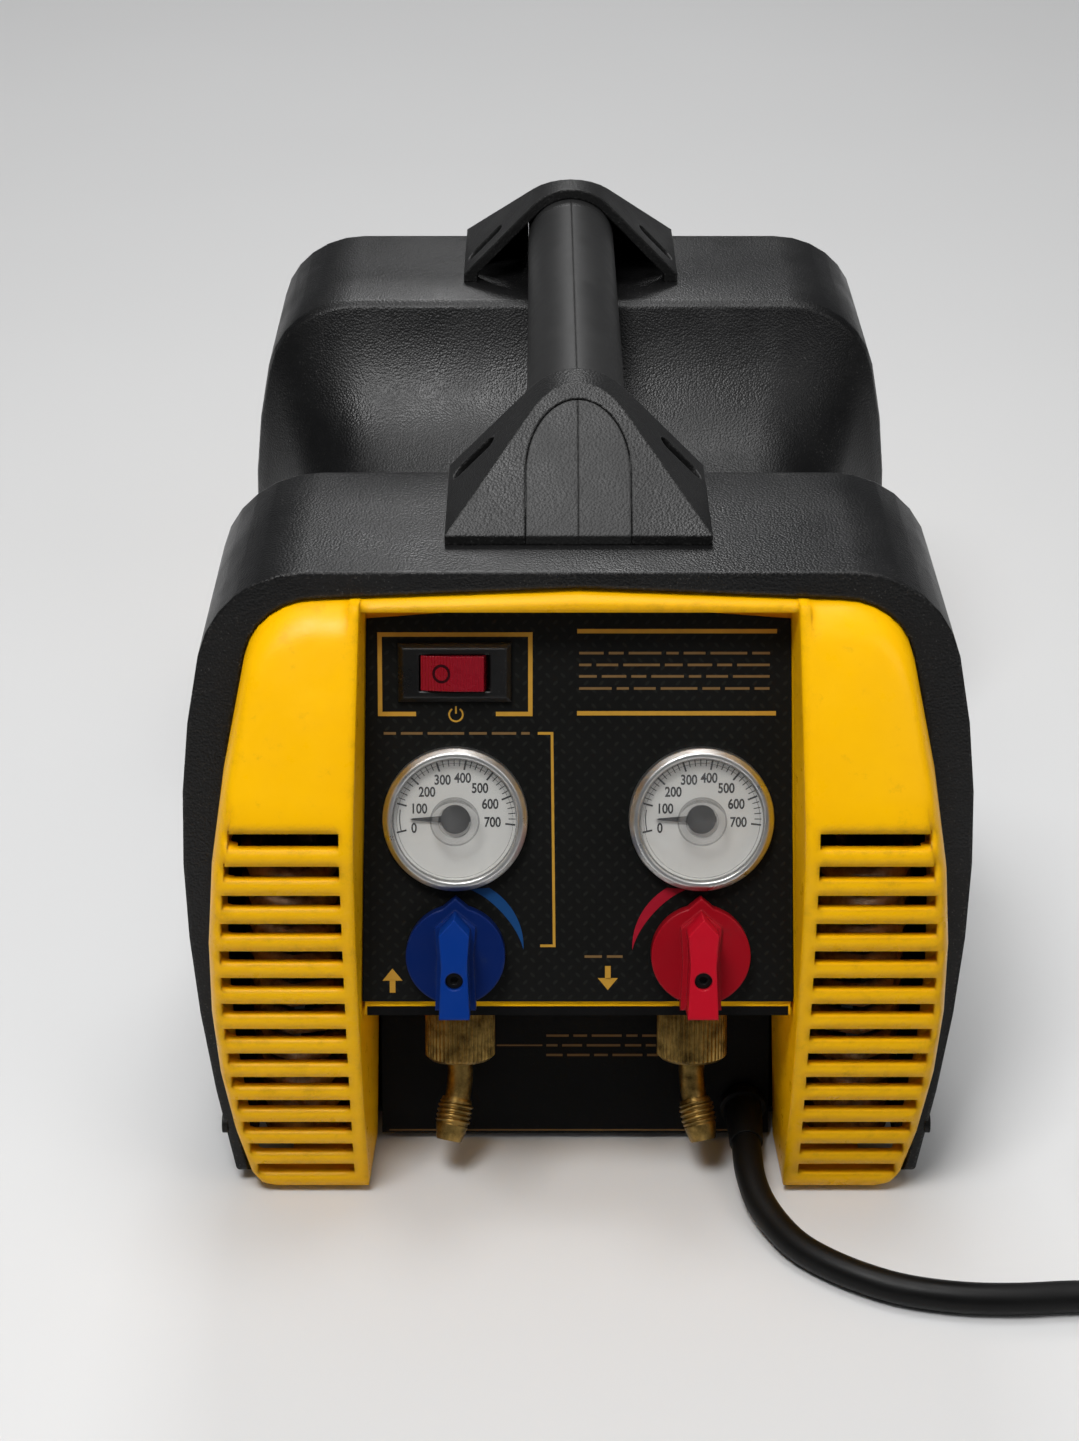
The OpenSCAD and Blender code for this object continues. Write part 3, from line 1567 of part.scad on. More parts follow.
// Chassis tray and the rubber mounts between it and the motor's base
TRAY_FRONT_Y = -148;
TRAY_REAR_Y = 152;
MOUNT_X = 42;
MOUNT_Y = [-42, 82];
MOUNT_R = 10;
MOUNT_WAIST = 2.5;
module chassis_tray() {
    color(STEEL)
        box([-tray_half_w, TRAY_FRONT_Y, TRAY_Z], [tray_half_w, TRAY_REAR_Y, TRAY_Z + tray_t]);
}
module vibration_mounts() {
    low = TRAY_Z + tray_t;
    middle = (low + BASE_Z) / 2;
    color(RUBBER)
        for (side = [LEFT, RIGHT])
            for (y = MOUNT_Y)
                translate([side * MOUNT_X, y, 0])
                    rotate_extrude()
                        polygon([[0, low], [MOUNT_R, low], [MOUNT_R - MOUNT_WAIST, middle],
                            [MOUNT_R, BASE_Z], [0, BASE_Z]]);
}

// Run capacitor, pressure switch and the copper lines
CAPACITOR_R = 16;
CAPACITOR_L = 60;
CAPACITOR_X = 74;
CAPACITOR_Y = 44;
PRESSURE_SWITCH_R = 8;
PRESSURE_SWITCH_L = 18;
PRESSURE_SWITCH_U = 14;
PIPE_R = 4;
PIPE_IN = 2;
PIPE_BACK_Y = -80;
PIPE_BEND = 11;
PIPE_BEND_STEPS = 4;
module capacitor() {
    color(STEEL)
        translate([CAPACITOR_X, CAPACITOR_Y + CAPACITOR_L, TRAY_Z + tray_t + CAPACITOR_R])
            rotate([90, 0, 0])
                cylinder(r = CAPACITOR_R, h = CAPACITOR_L);
}
module pressure_switch() {
    color(LABEL_BLACK)
        on_plate()
            translate([side_x - VALVE_HALF_W, PRESSURE_SWITCH_U, -port_n])
                rotate([0, -90, 0])
                    cylinder(r = PRESSURE_SWITCH_R, h = PRESSURE_SWITCH_L);
}
function valve_back(side) =
    let (p = plate_point(PRESSURE_SWITCH_U, PIPE_IN - VALVE_BACK_N))
    [side * side_x, p[0], p[1]];
function bend(a, b, c) =
    [for (i = [0:PIPE_BEND_STEPS])
        bezier(b + unit(a - b) * PIPE_BEND, b, b + unit(c - b) * PIPE_BEND, i / PIPE_BEND_STEPS)];
module suction_line() {
    start = valve_back(LEFT);
    back = [start[0], PIPE_BACK_Y, start[2]];
    turn = [-CRANK_FOOT_HALF_W / 2, PIPE_BACK_Y, drive_z];
    end = [turn[0], PIPE_IN - crankcase_l, drive_z];
    color(COPPER)
        swept_tube(concat([start], bend(start, back, turn), bend(back, turn, end), [end]), PIPE_R, COIL_SIDES);
}
module discharge_line() {
    start = valve_back(RIGHT);
    coil_end = [coil_x - coil_half_w, COIL_MID_Y + COIL_STRAIGHT + COIL_LEAD, COIL_Z];
    color(COPPER) {
        pipe([[-coil_end[0], coil_end[1], coil_end[2]], coil_end], PIPE_R);
        pipe([start, [start[0], coil_end[1], start[2]], [start[0], coil_end[1], coil_end[2]]], PIPE_R);
    }
}

// Power cord: strain relief, free run, coil, tie and plug
CORD_SIDES = 10;
CORD_ROUTE = [
    [54, -168, 10.6], [54, -175, 9.8], [54.5, -183, 8.4], [56.5, -192, 6.6], [60.5, -201, 5.3], [66.5, -210.5, 4.7],
    [75, -218.5, 4.7], [86, -225.5, 4.7], [98, -230.5, 4.7], [114, -233.5, 4.7], [130, -234, 4.7], [148, -233, 4.7],
    [164, -234, 4.7], [180, -238, 4.7], [196, -244, 4.7], [212, -248, 4.7], [230, -250, 4.7]
];
CORD_TAIL = [
    [290, -199, 4.7], [290, -186, 4.7], [290, -173, 4.7], [290, -160, 4.7], [290, -150, 4.7]
];
COIL_CENTRE = [230, -199];
COIL_MEAN_R = 50;
COIL_HALF_WIDTH = 14.1;
COIL_HEIGHT = 18.8;
COIL_EDGE = 4.7;
TIE_W = 12;
TIE_T = 1.2;
TIE_TURN = 140;
PLUG_L = 38;
PLUG_R = 10;
PLUG_NECK_R = 7;
PLUG_NECK_L = 14;
PLUG_NECK_DOWN = 2.4;
PLUG_TURN = 90;
BLADE_L = 17;
BLADE_W = 6.3;
PIN_BLADE_T = 1.5;
BLADE_GAP = 12.7;
PIN_R = 2.4;
PIN_L = 20;
PIN_DROP = 5;
module strain_relief() {
    color(RUBBER)
        at_gland() {
            translate([0, 0, -GLAND_BACK])
                cylinder(r = GLAND_R, h = GLAND_BACK + COLLAR_T);
            cylinder(r = COLLAR_R, h = COLLAR_T);
            translate([0, 0, COLLAR_T])
                cylinder(r1 = GLAND_R, r2 = GLAND_TIP_R, h = GLAND_L - COLLAR_T);
        }
}
module power_cord() {
    color(RUBBER) {
        swept_tube(CORD_ROUTE, CORD_R, CORD_SIDES);
        swept_tube(CORD_TAIL, CORD_R, CORD_SIDES);
    }
}
module cord_coil() {
    inner = COIL_MEAN_R - COIL_HALF_WIDTH;
    outer = COIL_MEAN_R + COIL_HALF_WIDTH;
    color(RUBBER)
        translate([COIL_CENTRE[0], COIL_CENTRE[1], 0])
            rotate_extrude()
                polygon([[inner, COIL_EDGE], [inner + COIL_EDGE, 0], [outer - COIL_EDGE, 0],
                    [outer, COIL_EDGE], [outer - COIL_EDGE, COIL_HEIGHT], [inner + COIL_EDGE, COIL_HEIGHT]]);
}
module cord_tie() {
    reach = COIL_HALF_WIDTH + TIE_T;
    color(LABEL_BLACK)
        translate([COIL_CENTRE[0], COIL_CENTRE[1], 0])
            rotate([0, 0, TIE_TURN])
                translate([COIL_MEAN_R, TIE_W / 2, 0])
                    rotate([90, 0, 0])
                        linear_extrude(TIE_W)
                            difference() {
                                polygon([[-reach, 0], [reach, 0], [reach, COIL_HEIGHT + TIE_T],
                                    [-reach, COIL_HEIGHT + TIE_T]]);
                                polygon([[TIE_T - reach, TIE_T / 2], [reach - TIE_T, TIE_T / 2],
                                    [reach - TIE_T, COIL_HEIGHT], [TIE_T - reach, COIL_HEIGHT]]);
                            }
}
module plug() {
    end = CORD_TAIL[len(CORD_TAIL) - 1];
    color(RUBBER)
        translate([end[0], end[1], 0])
            rotate([0, 0, 180 - PLUG_TURN]) {
                translate([0, 0, PLUG_R])
                    rotate([0, 90, 0]) {
                        translate([0, 0, PLUG_NECK_L])
                            cylinder(r = PLUG_R, h = PLUG_L - PLUG_NECK_L);
                        translate([PLUG_NECK_DOWN, 0, 0])
                            cylinder(r = PLUG_NECK_R, h = PLUG_NECK_L);
                        for (side = [LEFT, RIGHT])
                            translate([-BLADE_W / 2 - PIN_DROP / 2, side * BLADE_GAP / 2, PLUG_L])
                                translate([0, -PIN_BLADE_T / 2, 0])
                                    cube([BLADE_W, PIN_BLADE_T, BLADE_L]);
                        translate([PIN_DROP, 0, PLUG_L])
                            cylinder(r = PIN_R, h = PIN_L);
                    }
            }
}

body_shell();
front_panel();
rear_panel();
control_plate();
connector_plate();
panel_screws();
handle_left_half();
handle_right_half();
front_handle_bracket();
rear_handle_bracket();
handle_screws();
rubber_feet();
switch_housing();
switch_rocker();
inlet_gauge_case();
inlet_gauge_dial();
inlet_gauge_lens();
inlet_needle();
outlet_gauge_case();
outlet_gauge_dial();
outlet_gauge_lens();
outlet_needle();
inlet_knob();
inlet_knob_screw();
inlet_valve_stem();
inlet_valve_body();
inlet_gauge_line();
outlet_knob();
outlet_knob_screw();
outlet_valve_stem();
outlet_valve_body();
outlet_gauge_line();
inlet_nut();
inlet_port_tube();
inlet_filter();
outlet_nut();
outlet_port_tube();
outlet_filter();
crankcase();
left_cylinder();
right_cylinder();
left_cylinder_head();
right_cylinder_head();
motor_housing();
motor_shaft();
fan();
fan_shroud();
left_condenser_coil();
right_condenser_coil();
chassis_tray();
vibration_mounts();
capacitor();
pressure_switch();
suction_line();
discharge_line();
strain_relief();
power_cord();
cord_coil();
cord_tie();
plug();
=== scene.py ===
"""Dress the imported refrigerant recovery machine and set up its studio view."""

import logging
import math
from abc import ABC, abstractmethod
from dataclasses import dataclass
from enum import Enum
from typing import Sequence

import bpy
from mathutils import Matrix, Vector


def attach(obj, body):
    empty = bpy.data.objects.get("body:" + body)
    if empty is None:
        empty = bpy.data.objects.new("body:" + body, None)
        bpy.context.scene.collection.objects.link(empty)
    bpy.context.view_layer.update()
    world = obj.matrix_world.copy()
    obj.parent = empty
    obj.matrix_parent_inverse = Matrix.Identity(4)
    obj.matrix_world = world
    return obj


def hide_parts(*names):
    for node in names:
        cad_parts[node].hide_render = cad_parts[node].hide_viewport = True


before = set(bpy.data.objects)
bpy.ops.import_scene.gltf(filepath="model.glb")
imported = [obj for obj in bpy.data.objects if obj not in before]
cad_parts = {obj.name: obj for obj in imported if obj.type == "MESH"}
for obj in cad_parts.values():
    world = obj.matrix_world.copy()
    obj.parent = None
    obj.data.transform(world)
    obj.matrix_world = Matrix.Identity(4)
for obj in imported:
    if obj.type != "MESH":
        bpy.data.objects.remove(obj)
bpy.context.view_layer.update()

LOG = logging.getLogger("recovery_machine")
MM = 0.001
CASE = "case"
# Outward growth of a figure's outline, and its height, both against the font's size
FIGURE_WEIGHT = 0.026
FIGURE_HEIGHT = 0.7
# Least cosine of half a corner's turn that a mitre is drawn for, so that sharp corners stay short
MITRE_LIMIT = 0.3
# Distance in mm under which points of a CAD mesh are joined for smooth shading
WELD_DISTANCE = 0.01
# Range that a noise mostly stays in
NOISE_RANGE = (0.3, 0.7)
# Cosines of the normal's turn at the start of an edge mask and at its full strength
EDGE_RANGE = (0.985, 0.9)

Colour = tuple[float, float, float]
Point2 = tuple[float, float]
Point3 = tuple[float, float, float]
NoteRow = tuple[float, float, float, int]
Socket = bpy.types.NodeSocket


class Side(Enum):
    """The two refrigerant sides, valued by their sign along X."""

    INLET = -1
    OUTLET = 1

    @property
    def key(self) -> str:
        """Word that starts the names of this side's nodes and bodies."""
        return self.name.lower()


class Slot(Enum):
    """Material slots of the record."""

    SHELL = "shell_plastic"
    PANEL = "panel_yellow"
    LABEL = "label_black"
    HANDLE = "handle_plastic"
    SWITCH = "switch_plastic"
    ROCKER = "rocker_red"
    GAUGE = "gauge_metal"
    DIAL = "dial_white"
    LENS = "lens_clear"
    NEEDLE = "needle_black"
    BLUE = "knob_blue"
    RED = "knob_red"
    BRASS = "brass"
    COPPER = "copper"
    STEEL = "steel"
    ALLOY = "cast_alloy"
    RUBBER = "rubber"
    FAN = "fan_plastic"


class Shader:
    """Small builder for the node tree of one material."""

    def __init__(self, name: str) -> None:
        """Start a material with a principled surface.

        Args:
            name: Name of the material.
        """
        self.material = bpy.data.materials.new(name)
        self.material.use_nodes = True
        self.tree = self.material.node_tree
        self.surface = self.tree.nodes["Principled BSDF"]
        self.place = self.node("ShaderNodeTexCoord").outputs["Object"]

    def node(self, kind: str, **settings: object) -> bpy.types.Node:
        """Add a node.

        Args:
            kind: Blender's name of the node type.
            settings: Properties of the node.

        Returns:
            The new node.
        """
        node = self.tree.nodes.new(kind)
        for key, value in settings.items():
            setattr(node, key, value)
        return node

    def feed(self, socket: Socket, value: object) -> None:
        """Link or set an input.

        Args:
            socket: The input.
            value: Another node's output, or a constant.
        """
        if isinstance(value, bpy.types.NodeSocket):
            self.tree.links.new(value, socket)
        elif isinstance(value, tuple) and len(value) == 3 and socket.type == "RGBA":
            socket.default_value = (*value, 1.0)
        else:
            socket.default_value = value

    def moved(self, stretch: Point3 = (1, 1, 1), tilt: float = 0.0, turn: float = 0.0) -> Socket:
        """Object coordinates after a scale and a rotation.

        Args:
            stretch: Scale along each axis.
            tilt: Rotation about X, in radians.
            turn: Rotation about Z, in radians.

        Returns:
            The coordinate output.
        """
        node = self.node("ShaderNodeMapping")
        self.feed(node.inputs["Vector"], self.place)
        node.inputs["Scale"].default_value = stretch
        node.inputs["Rotation"].default_value = (tilt, 0.0, turn)
        return node.outputs["Vector"]

    def noise(
        self,
        size: float,
        detail: float = 3.0,
        rough: float = 0.5,
        stretch: Point3 = (1, 1, 1),
        turn: float = 0.0,
    ) -> Socket:
        """Cloudy noise.

        Args:
            size: Size of its features, in mm.
            detail: Number of octaves.
            rough: Weight of the finer octaves.
            stretch: Scale along each axis before the noise.
            turn: Rotation about Z, in radians.

        Returns:
            A value from 0 to 1.
        """
        node = self.node("ShaderNodeTexNoise")
        self.feed(node.inputs["Vector"], self.moved(stretch, 0.0, turn))
        node.inputs["Scale"].default_value = 1 / (size * MM)
        node.inputs["Detail"].default_value = detail
        node.inputs["Roughness"].default_value = rough
        return node.outputs["Fac"]

    def cells(self, size: float) -> Socket:
        """Distance inside a cell pattern.

        Args:
            size: Size of a cell, in mm.

        Returns:
            A value that is 0 in the middle of each cell.
        """
        node = self.node("ShaderNodeTexVoronoi")
        self.feed(node.inputs["Vector"], self.place)
        node.inputs["Scale"].default_value = 1 / (size * MM)
        return node.outputs["Distance"]

    def span(self, value: Socket, low: float, high: float, start: float = 0.0, end: float = 1.0) -> Socket:
        """Map one range to another, clamped.

        Args:
            value: The value to map.
            low: Lower end of the input range.
            high: Upper end of the input range.
            start: Result at the lower end.
            end: Result at the upper end.

        Returns:
            The mapped value.
        """
        node = self.node("ShaderNodeMapRange")
        names = ("Value", "From Min", "From Max", "To Min", "To Max")
        for name, item in zip(names, (value, low, high, start, end)):
            self.feed(node.inputs[name], item)
        return node.outputs["Result"]

    def spread(self, noise: Socket, start: float, end: float) -> Socket:
        """Map the range that a noise mostly stays in to another range."""
        return self.span(noise, *NOISE_RANGE, start, end)

    def roughness(self, noise: Socket, middle: float, change: Point2) -> Socket:
        """Roughness that a noise moves between two changes from its middle."""
        return self.spread(noise, middle + change[0], middle + change[1])

    def math(self, operation: str, first: object, second: object = 0.0) -> Socket:
        """One step of arithmetic.

        Args:
            operation: Blender's name of the operation.
            first: First value or output.
            second: Second value or output.

        Returns:
            The result.
        """
        node = self.node("ShaderNodeMath", operation=operation)
        self.feed(node.inputs[0], first)
        self.feed(node.inputs[1], second)
        return node.outputs["Value"]

    def chain(self, operation: str, first: object, *others: object) -> Socket:
        """Join values by one operation, from left to right.

        Args:
            operation: Blender's name of the operation.
            first: First value or output.
            others: The values that follow.

        Returns:
            The result.
        """
        result = first
        for value in others:
            result = self.math(operation, result, value)
        return result

    def mix(self, amount: object, first: object, second: object) -> Socket:
        """Blend two colours.

        Args:
            amount: Share of the second colour.
            first: First colour.
            second: Second colour.

        Returns:
            The blended colour.
        """
        node = self.node("ShaderNodeMix", data_type="RGBA")
        self.feed(node.inputs["Factor"], amount)
        # Inputs 6 and 7 and output 2 are the node's colours
        self.feed(node.inputs[6], first)
        self.feed(node.inputs[7], second)
        return node.outputs[2]

    def axes(self, vector: Socket) -> tuple[Socket, Socket, Socket]:
        """Split a vector.

        Args:
            vector: The vector output.

        Returns:
            Its three components.
        """
        node = self.node("ShaderNodeSeparateXYZ")
        self.feed(node.inputs["Vector"], vector)
        return node.outputs["X"], node.outputs["Y"], node.outputs["Z"]

    def relief(self, height: Socket, depth: float, edge: float = 0.0) -> None:
        """Give the surface a fine relief and softened edges.

        Args:
            height: Height of the relief, from 0 to 1.
            depth: Depth of the relief, in mm.
            edge: Radius that the edges are softened to, in mm.
        """
        bump = self.node("ShaderNodeBump")
        bump.inputs["Strength"].default_value = 1.0
        bump.inputs["Distance"].default_value = depth * MM
        self.feed(bump.inputs["Height"], height)
        if edge:
            soft = self.node("ShaderNodeBevel", samples=8)
            soft.inputs["Radius"].default_value = edge * MM
            self.feed(bump.inputs["Normal"], soft.outputs["Normal"])
        self.feed(self.surface.inputs["Normal"], bump.outputs["Normal"])

    def edges(self, radius: float) -> Socket:
        """Mask of the edges that stand out or lie in a corner.

        Args:
            radius: Reach of the mask from the edge, in mm.

        Returns:
            A value that is 1 on an edge and 0 away from it.
        """
        soft = self.node("ShaderNodeBevel", samples=4)
        soft.inputs["Radius"].default_value = radius * MM
        flat = self.node("ShaderNodeNewGeometry")
        dot = self.node("ShaderNodeVectorMath", operation="DOT_PRODUCT")
        self.feed(dot.inputs[0], soft.outputs["Normal"])
        self.feed(dot.inputs[1], flat.outputs["Normal"])
        return self.span(dot.outputs["Value"], *EDGE_RANGE)

    def set(self, **inputs: object) -> None:
        """Set inputs of the surface by name, with underscores for spaces."""
        for key, value in inputs.items():
            self.feed(self.surface.inputs[key.replace("_", " ")], value)


@dataclass(frozen=True)
class ControlPlane:
    """The tilted plane that the controls stand on.

    Attributes:
        y: Y of the plane's lower edge, in mm.
        z: Z of the plane's lower edge, in mm.
        tilt: Lean from upright, in degrees.
        half_span: Distance of the two control columns from the middle, in mm.
        top: Height of the plate's face above the plane, in mm.
    """

    y: float = -179.5
    z: float = 73.5
    tilt: float = 22.0
    half_span: float = 36.5
    top: float = 1.2

    def matrix(self) -> Matrix:
        """Matrix from the plane's millimetres to the shared frame's metres."""
        turn = Matrix.Rotation(math.radians(90 - self.tilt), 4, "X")
        return Matrix.Translation((0, self.y * MM, self.z * MM)) @ turn @ Matrix.Scale(MM, 4)

    def depth(self) -> float:
        """Distance of the plane from the origin along its normal, in mm."""
        lean = math.radians(self.tilt)
        return self.z * math.sin(lean) - self.y * math.cos(lean)

    def at(self, across: float, up: float, out: float) -> Matrix:
        """Matrix of the place that is so far along X, up the plane and out of it, in mm."""
        return self.matrix() @ Matrix.Translation((across, up, out))


PLANE = ControlPlane()


@dataclass(frozen=True)
class Finish(ABC):
    """How a surface looks.

    Attributes:
        name: Name of the material.
        slot: Material slot of the record that it stands for; not used.
    """

    name: str
    slot: Slot

    def material(self) -> bpy.types.Material:
        """Make the material, or find it if it was made before.

        Returns:
            The material.
        """
        known = bpy.data.materials.get(self.name)
        if known is not None:
            return known
        shader = Shader(self.name)
        self.paint(shader)
        return shader.material

    @abstractmethod
    def paint(self, shader: Shader) -> None:
        """Fill the material's node tree.

        Args:
            shader: Builder of the node tree.
        """


@dataclass(frozen=True)
class GrainedPlastic(Finish):
    """Moulded plastic or rubber with a pebbled grain and some wear.

    Attributes:
        colour: Main colour.
        worn: Colour of scuffs and dust.
        depth: Depth of the grain, in mm.
        roughness: Middle of the roughness range.
        wear: Strength of the scuffs and dust.
        edge: Radius that edges are softened to, in mm.
        grain: Size of a pebble, in mm.
        gloss: Strength of its mirror-like reflection.
        smooth_within: Distance from the middle along Y that has no grain, in mm.
        rough_change: Change of the roughness in smooth and in rough patches.
        dark_share: Brightness of the darkest patches against the main colour.
        patch_size: Size of the patches, in mm.
        scratch_size: Width of a scratch, in mm.
        dust_size: Size of a speck, in mm.
        scuff_patches: Range of the patches over which scuffs appear.
        scuff_lines: Range of the scratches over which scuffs appear.
        speck_dust: Range of the dust over which specks appear.
        speck_patches: Range of the patches over which specks appear.
        rub_reach: How much wider than the softened edge the rubbed edge is, in mm.
        rub_dust: Range of the dust over which an edge is rubbed.
        rub_share: Strength of the rubbed edges against the scuffs.
    """

    colour: Colour
    worn: Colour
    depth: float
    roughness: float
    wear: float
    edge: float
    grain: float = 0.9
    gloss: float = 0.25
    smooth_within: float = 0.0
    rough_change: Point2 = (-0.08, 0.1)
    dark_share: float = 0.65
    patch_size: float = 30.0
    scratch_size: float = 0.9
    dust_size: float = 0.7
    scuff_patches: Point2 = (0.6, 0.78)
    scuff_lines: Point2 = (0.66, 0.74)
    speck_dust: Point2 = (0.62, 0.78)
    speck_patches: Point2 = (0.38, 0.66)
    rub_reach: float = 0.6
    rub_dust: Point2 = (0.5, 0.7)
    rub_share: float = 0.7

    def paint(self, shader: Shader) -> None:
        """Fill the material's node tree.

        Args:
            shader: Builder of the node tree.
        """
        pebbles = shader.cells(self.grain)
        patches = shader.noise(self.patch_size, detail=6, rough=0.65)
        lines = shader.noise(self.scratch_size, detail=2, rough=0.5, stretch=(0.06, 1.0, 1.0), turn=0.7)
        dust = shader.noise(self.dust_size, detail=2, rough=0.6)
        scuffs = shader.math(
            "MULTIPLY",
            shader.span(patches, *self.scuff_patches),
            shader.span(lines, *self.scuff_lines),
        )
        specks = shader.math(
            "MULTIPLY",
            shader.span(dust, *self.speck_dust),
            shader.span(patches, *self.speck_patches),
        )
        rim = shader.edges(self.edge + self.rub_reach)
        rubbed = shader.chain("MULTIPLY", rim, shader.span(dust, *self.rub_dust), self.rub_share)
        amount = shader.math("MULTIPLY", shader.chain("MAXIMUM", scuffs, specks, rubbed), self.wear)
        tone = tuple(channel * self.dark_share for channel in self.colour)
        shader.set(
            Base_Color=shader.mix(amount, shader.mix(patches, tone, self.colour), self.worn),
            Roughness=shader.roughness(patches, self.roughness, self.rough_change),
            Specular_IOR_Level=self.gloss,
        )
        grain = shader.math("SUBTRACT", 1.0, pebbles)
        if self.smooth_within:
            _, along, _ = shader.axes(shader.place)
            start = (self.smooth_within - 1) * MM
            ends = shader.span(shader.math("ABSOLUTE", along), start, self.smooth_within * MM)
            grain = shader.math("MULTIPLY", grain, ends)
        shader.relief(grain, self.depth, self.edge)


@dataclass(frozen=True)
class MouldedColour(Finish):
    """Smooth coloured plastic with faint handling marks.

    Attributes:
        colour: Main colour.
        deep_tone_and_shade: Darker tone of the same plastic, and with rise set the painted shade of the lower
            parts.
        grime: Colour of the marks.
        roughness: Middle of the roughness range.
        marks: Strength of the marks.
        edge: Radius that edges are softened to, in mm.
        ribs: Distance between fine ribs across X, in mm, or 0 for none.
        gloss: Strength of its mirror-like reflection.
        painted_light_rise: Heights over the control plane between which it turns from the darker tone to the
            main colour, in mm, as painted shade low down and painted light higher up.
        rough_change: Change of the roughness in smooth and in rough patches.
        tone_size: Size of the clouds of deeper tone, in mm.
        tone_range: Range of the clouds over which the tone turns darker.
        smudge_size: Size of the marks, in mm.
        smudge_range: Range of the smudges over which marks appear.
        rub_reach: How much wider than the softened edge the rubbed edge is, in mm.
        rub_range: Range of the smudges over which an edge is rubbed.
        grain_size: Size of the faint grain, in mm.
        grain_depth: Depth of the faint grain, in mm.
        rib_depth: Depth of the ribs, in mm.
    """

    colour: Colour
    deep_tone_and_shade: Colour
    grime: Colour
    roughness: float
    marks: float
    edge: float
    ribs: float = 0.0
    gloss: float = 0.3
    painted_light_rise: Point2 | None = None
    rough_change: Point2 = (-0.06, 0.1)
    tone_size: float = 55.0
    tone_range: Point2 = (0.35, 0.7)
    smudge_size: float = 8.0
    smudge_range: Point2 = (0.6, 0.78)
    rub_reach: float = 0.5
    rub_range: Point2 = (0.5, 0.66)
    grain_size: float = 0.6
    grain_depth: float = 0.02
    rib_depth: float = 0.08

    def paint(self, shader: Shader) -> None:
        """Fill the material's node tree.

        Args:
            shader: Builder of the node tree.
        """
        broad = shader.noise(self.tone_size, detail=4, rough=0.6)
        smudge = shader.noise(self.smudge_size, detail=7, rough=0.72)
        share = shader.span(broad, *self.tone_range)
        # Painted light: with rise set, height over the control plane replaces the random tone, darker low
        # down as painted shade and lighter on raised parts as painted highlight
        if self.painted_light_rise:
            _, _, out = shader.axes(shader.moved((1, 1, 1), math.radians(PLANE.tilt - 90)))
            low, high = ((PLANE.depth() + height) * MM for height in self.painted_light_rise)
            share = shader.span(out, low, high, 1.0, 0.0)
        tint = shader.mix(share, self.colour, self.deep_tone_and_shade)
        rim = shader.edges(self.edge + self.rub_reach)
        rubbed = shader.math("MULTIPLY", rim, shader.span(smudge, *self.rub_range))
        stained = shader.math("MAXIMUM", shader.span(smudge, *self.smudge_range), rubbed)
        amount = shader.math("MULTIPLY", stained, self.marks)
        shader.set(
            Base_Color=shader.mix(amount, tint, self.grime),
            Roughness=shader.roughness(smudge, self.roughness, self.rough_change),
            Specular_IOR_Level=self.gloss,
        )
        if self.ribs:
            across, _, _ = shader.axes(shader.moved((math.tau / (self.ribs * MM),) * 3))
            shader.relief(shader.math("SINE", across), self.rib_depth, self.edge)
        else:
            fine = shader.noise(self.grain_size, detail=2, rough=0.5)
            shader.relief(fine, self.grain_depth, self.edge)


@dataclass(frozen=True)
class Metal(Finish):
    """Bare metal with a dull film in patches.

    Attributes:
        colour: Colour of the clean metal.
        dull: Colour of the film.
        roughness: Roughness of the clean metal.
        film: Strength of the film.
        edge: Radius that edges are softened to, in mm.
        rough_change: Change of the roughness in clean and in dull patches.
        film_size: Size of the dull patches, in mm.
        film_range: Range of the patches over which the film appears.
        grain_size: Size of the faint grain, in mm.
        grain_depth: Depth of the faint grain, in mm.
    """

    colour: Colour
    dull: Colour
    roughness: float = 0.3
    film: float = 0.6
    edge: float = 0.3
    rough_change: Point2 = (0.0, 0.2)
    film_size: float = 5.0
    film_range: Point2 = (0.38, 0.68)
    grain_size: float = 0.5
    grain_depth: float = 0.015

    def paint(self, shader: Shader) -> None:
        """Fill the material's node tree.

        Args:
            shader: Builder of the node tree.
        """
        patches = shader.noise(self.film_size, detail=6, rough=0.65)
        fine = shader.noise(self.grain_size, detail=3, rough=0.6)
        amount = shader.math("MULTIPLY", shader.span(patches, *self.film_range), self.film)
        shader.set(
            Base_Color=shader.mix(amount, self.colour, self.dull),
            Metallic=1.0,
            Roughness=shader.roughness(patches, self.roughness, self.rough_change),
        )
        shader.relief(fine, self.grain_depth, self.edge)


@dataclass(frozen=True)
class Ink(Finish):
    """Printed ink.

    Attributes:
        colour: Colour of the ink.
        roughness: Middle of the roughness range.
        rough_change: Change of the roughness in smooth and in rough patches.
        gloss: Strength of its mirror-like reflection.
        fade_size: Size of the faded patches, in mm.
        fade_share: Brightness of the faded patches against the main colour.
    """

    colour: Colour
    roughness: float = 0.5
    rough_change: Point2 = (-0.08, 0.08)
    gloss: float = 0.15
    fade_size: float = 2.5
    fade_share: float = 0.78

    def paint(self, shader: Shader) -> None:
        """Fill the material's node tree.

        Args:
            shader: Builder of the node tree.
        """
        patches = shader.noise(self.fade_size, detail=4, rough=0.6)
        faded = tuple(channel * self.fade_share for channel in self.colour)
        shader.set(
            Base_Color=shader.mix(patches, faded, self.colour),
            Roughness=shader.roughness(patches, self.roughness, self.rough_change),
            Specular_IOR_Level=self.gloss,
        )


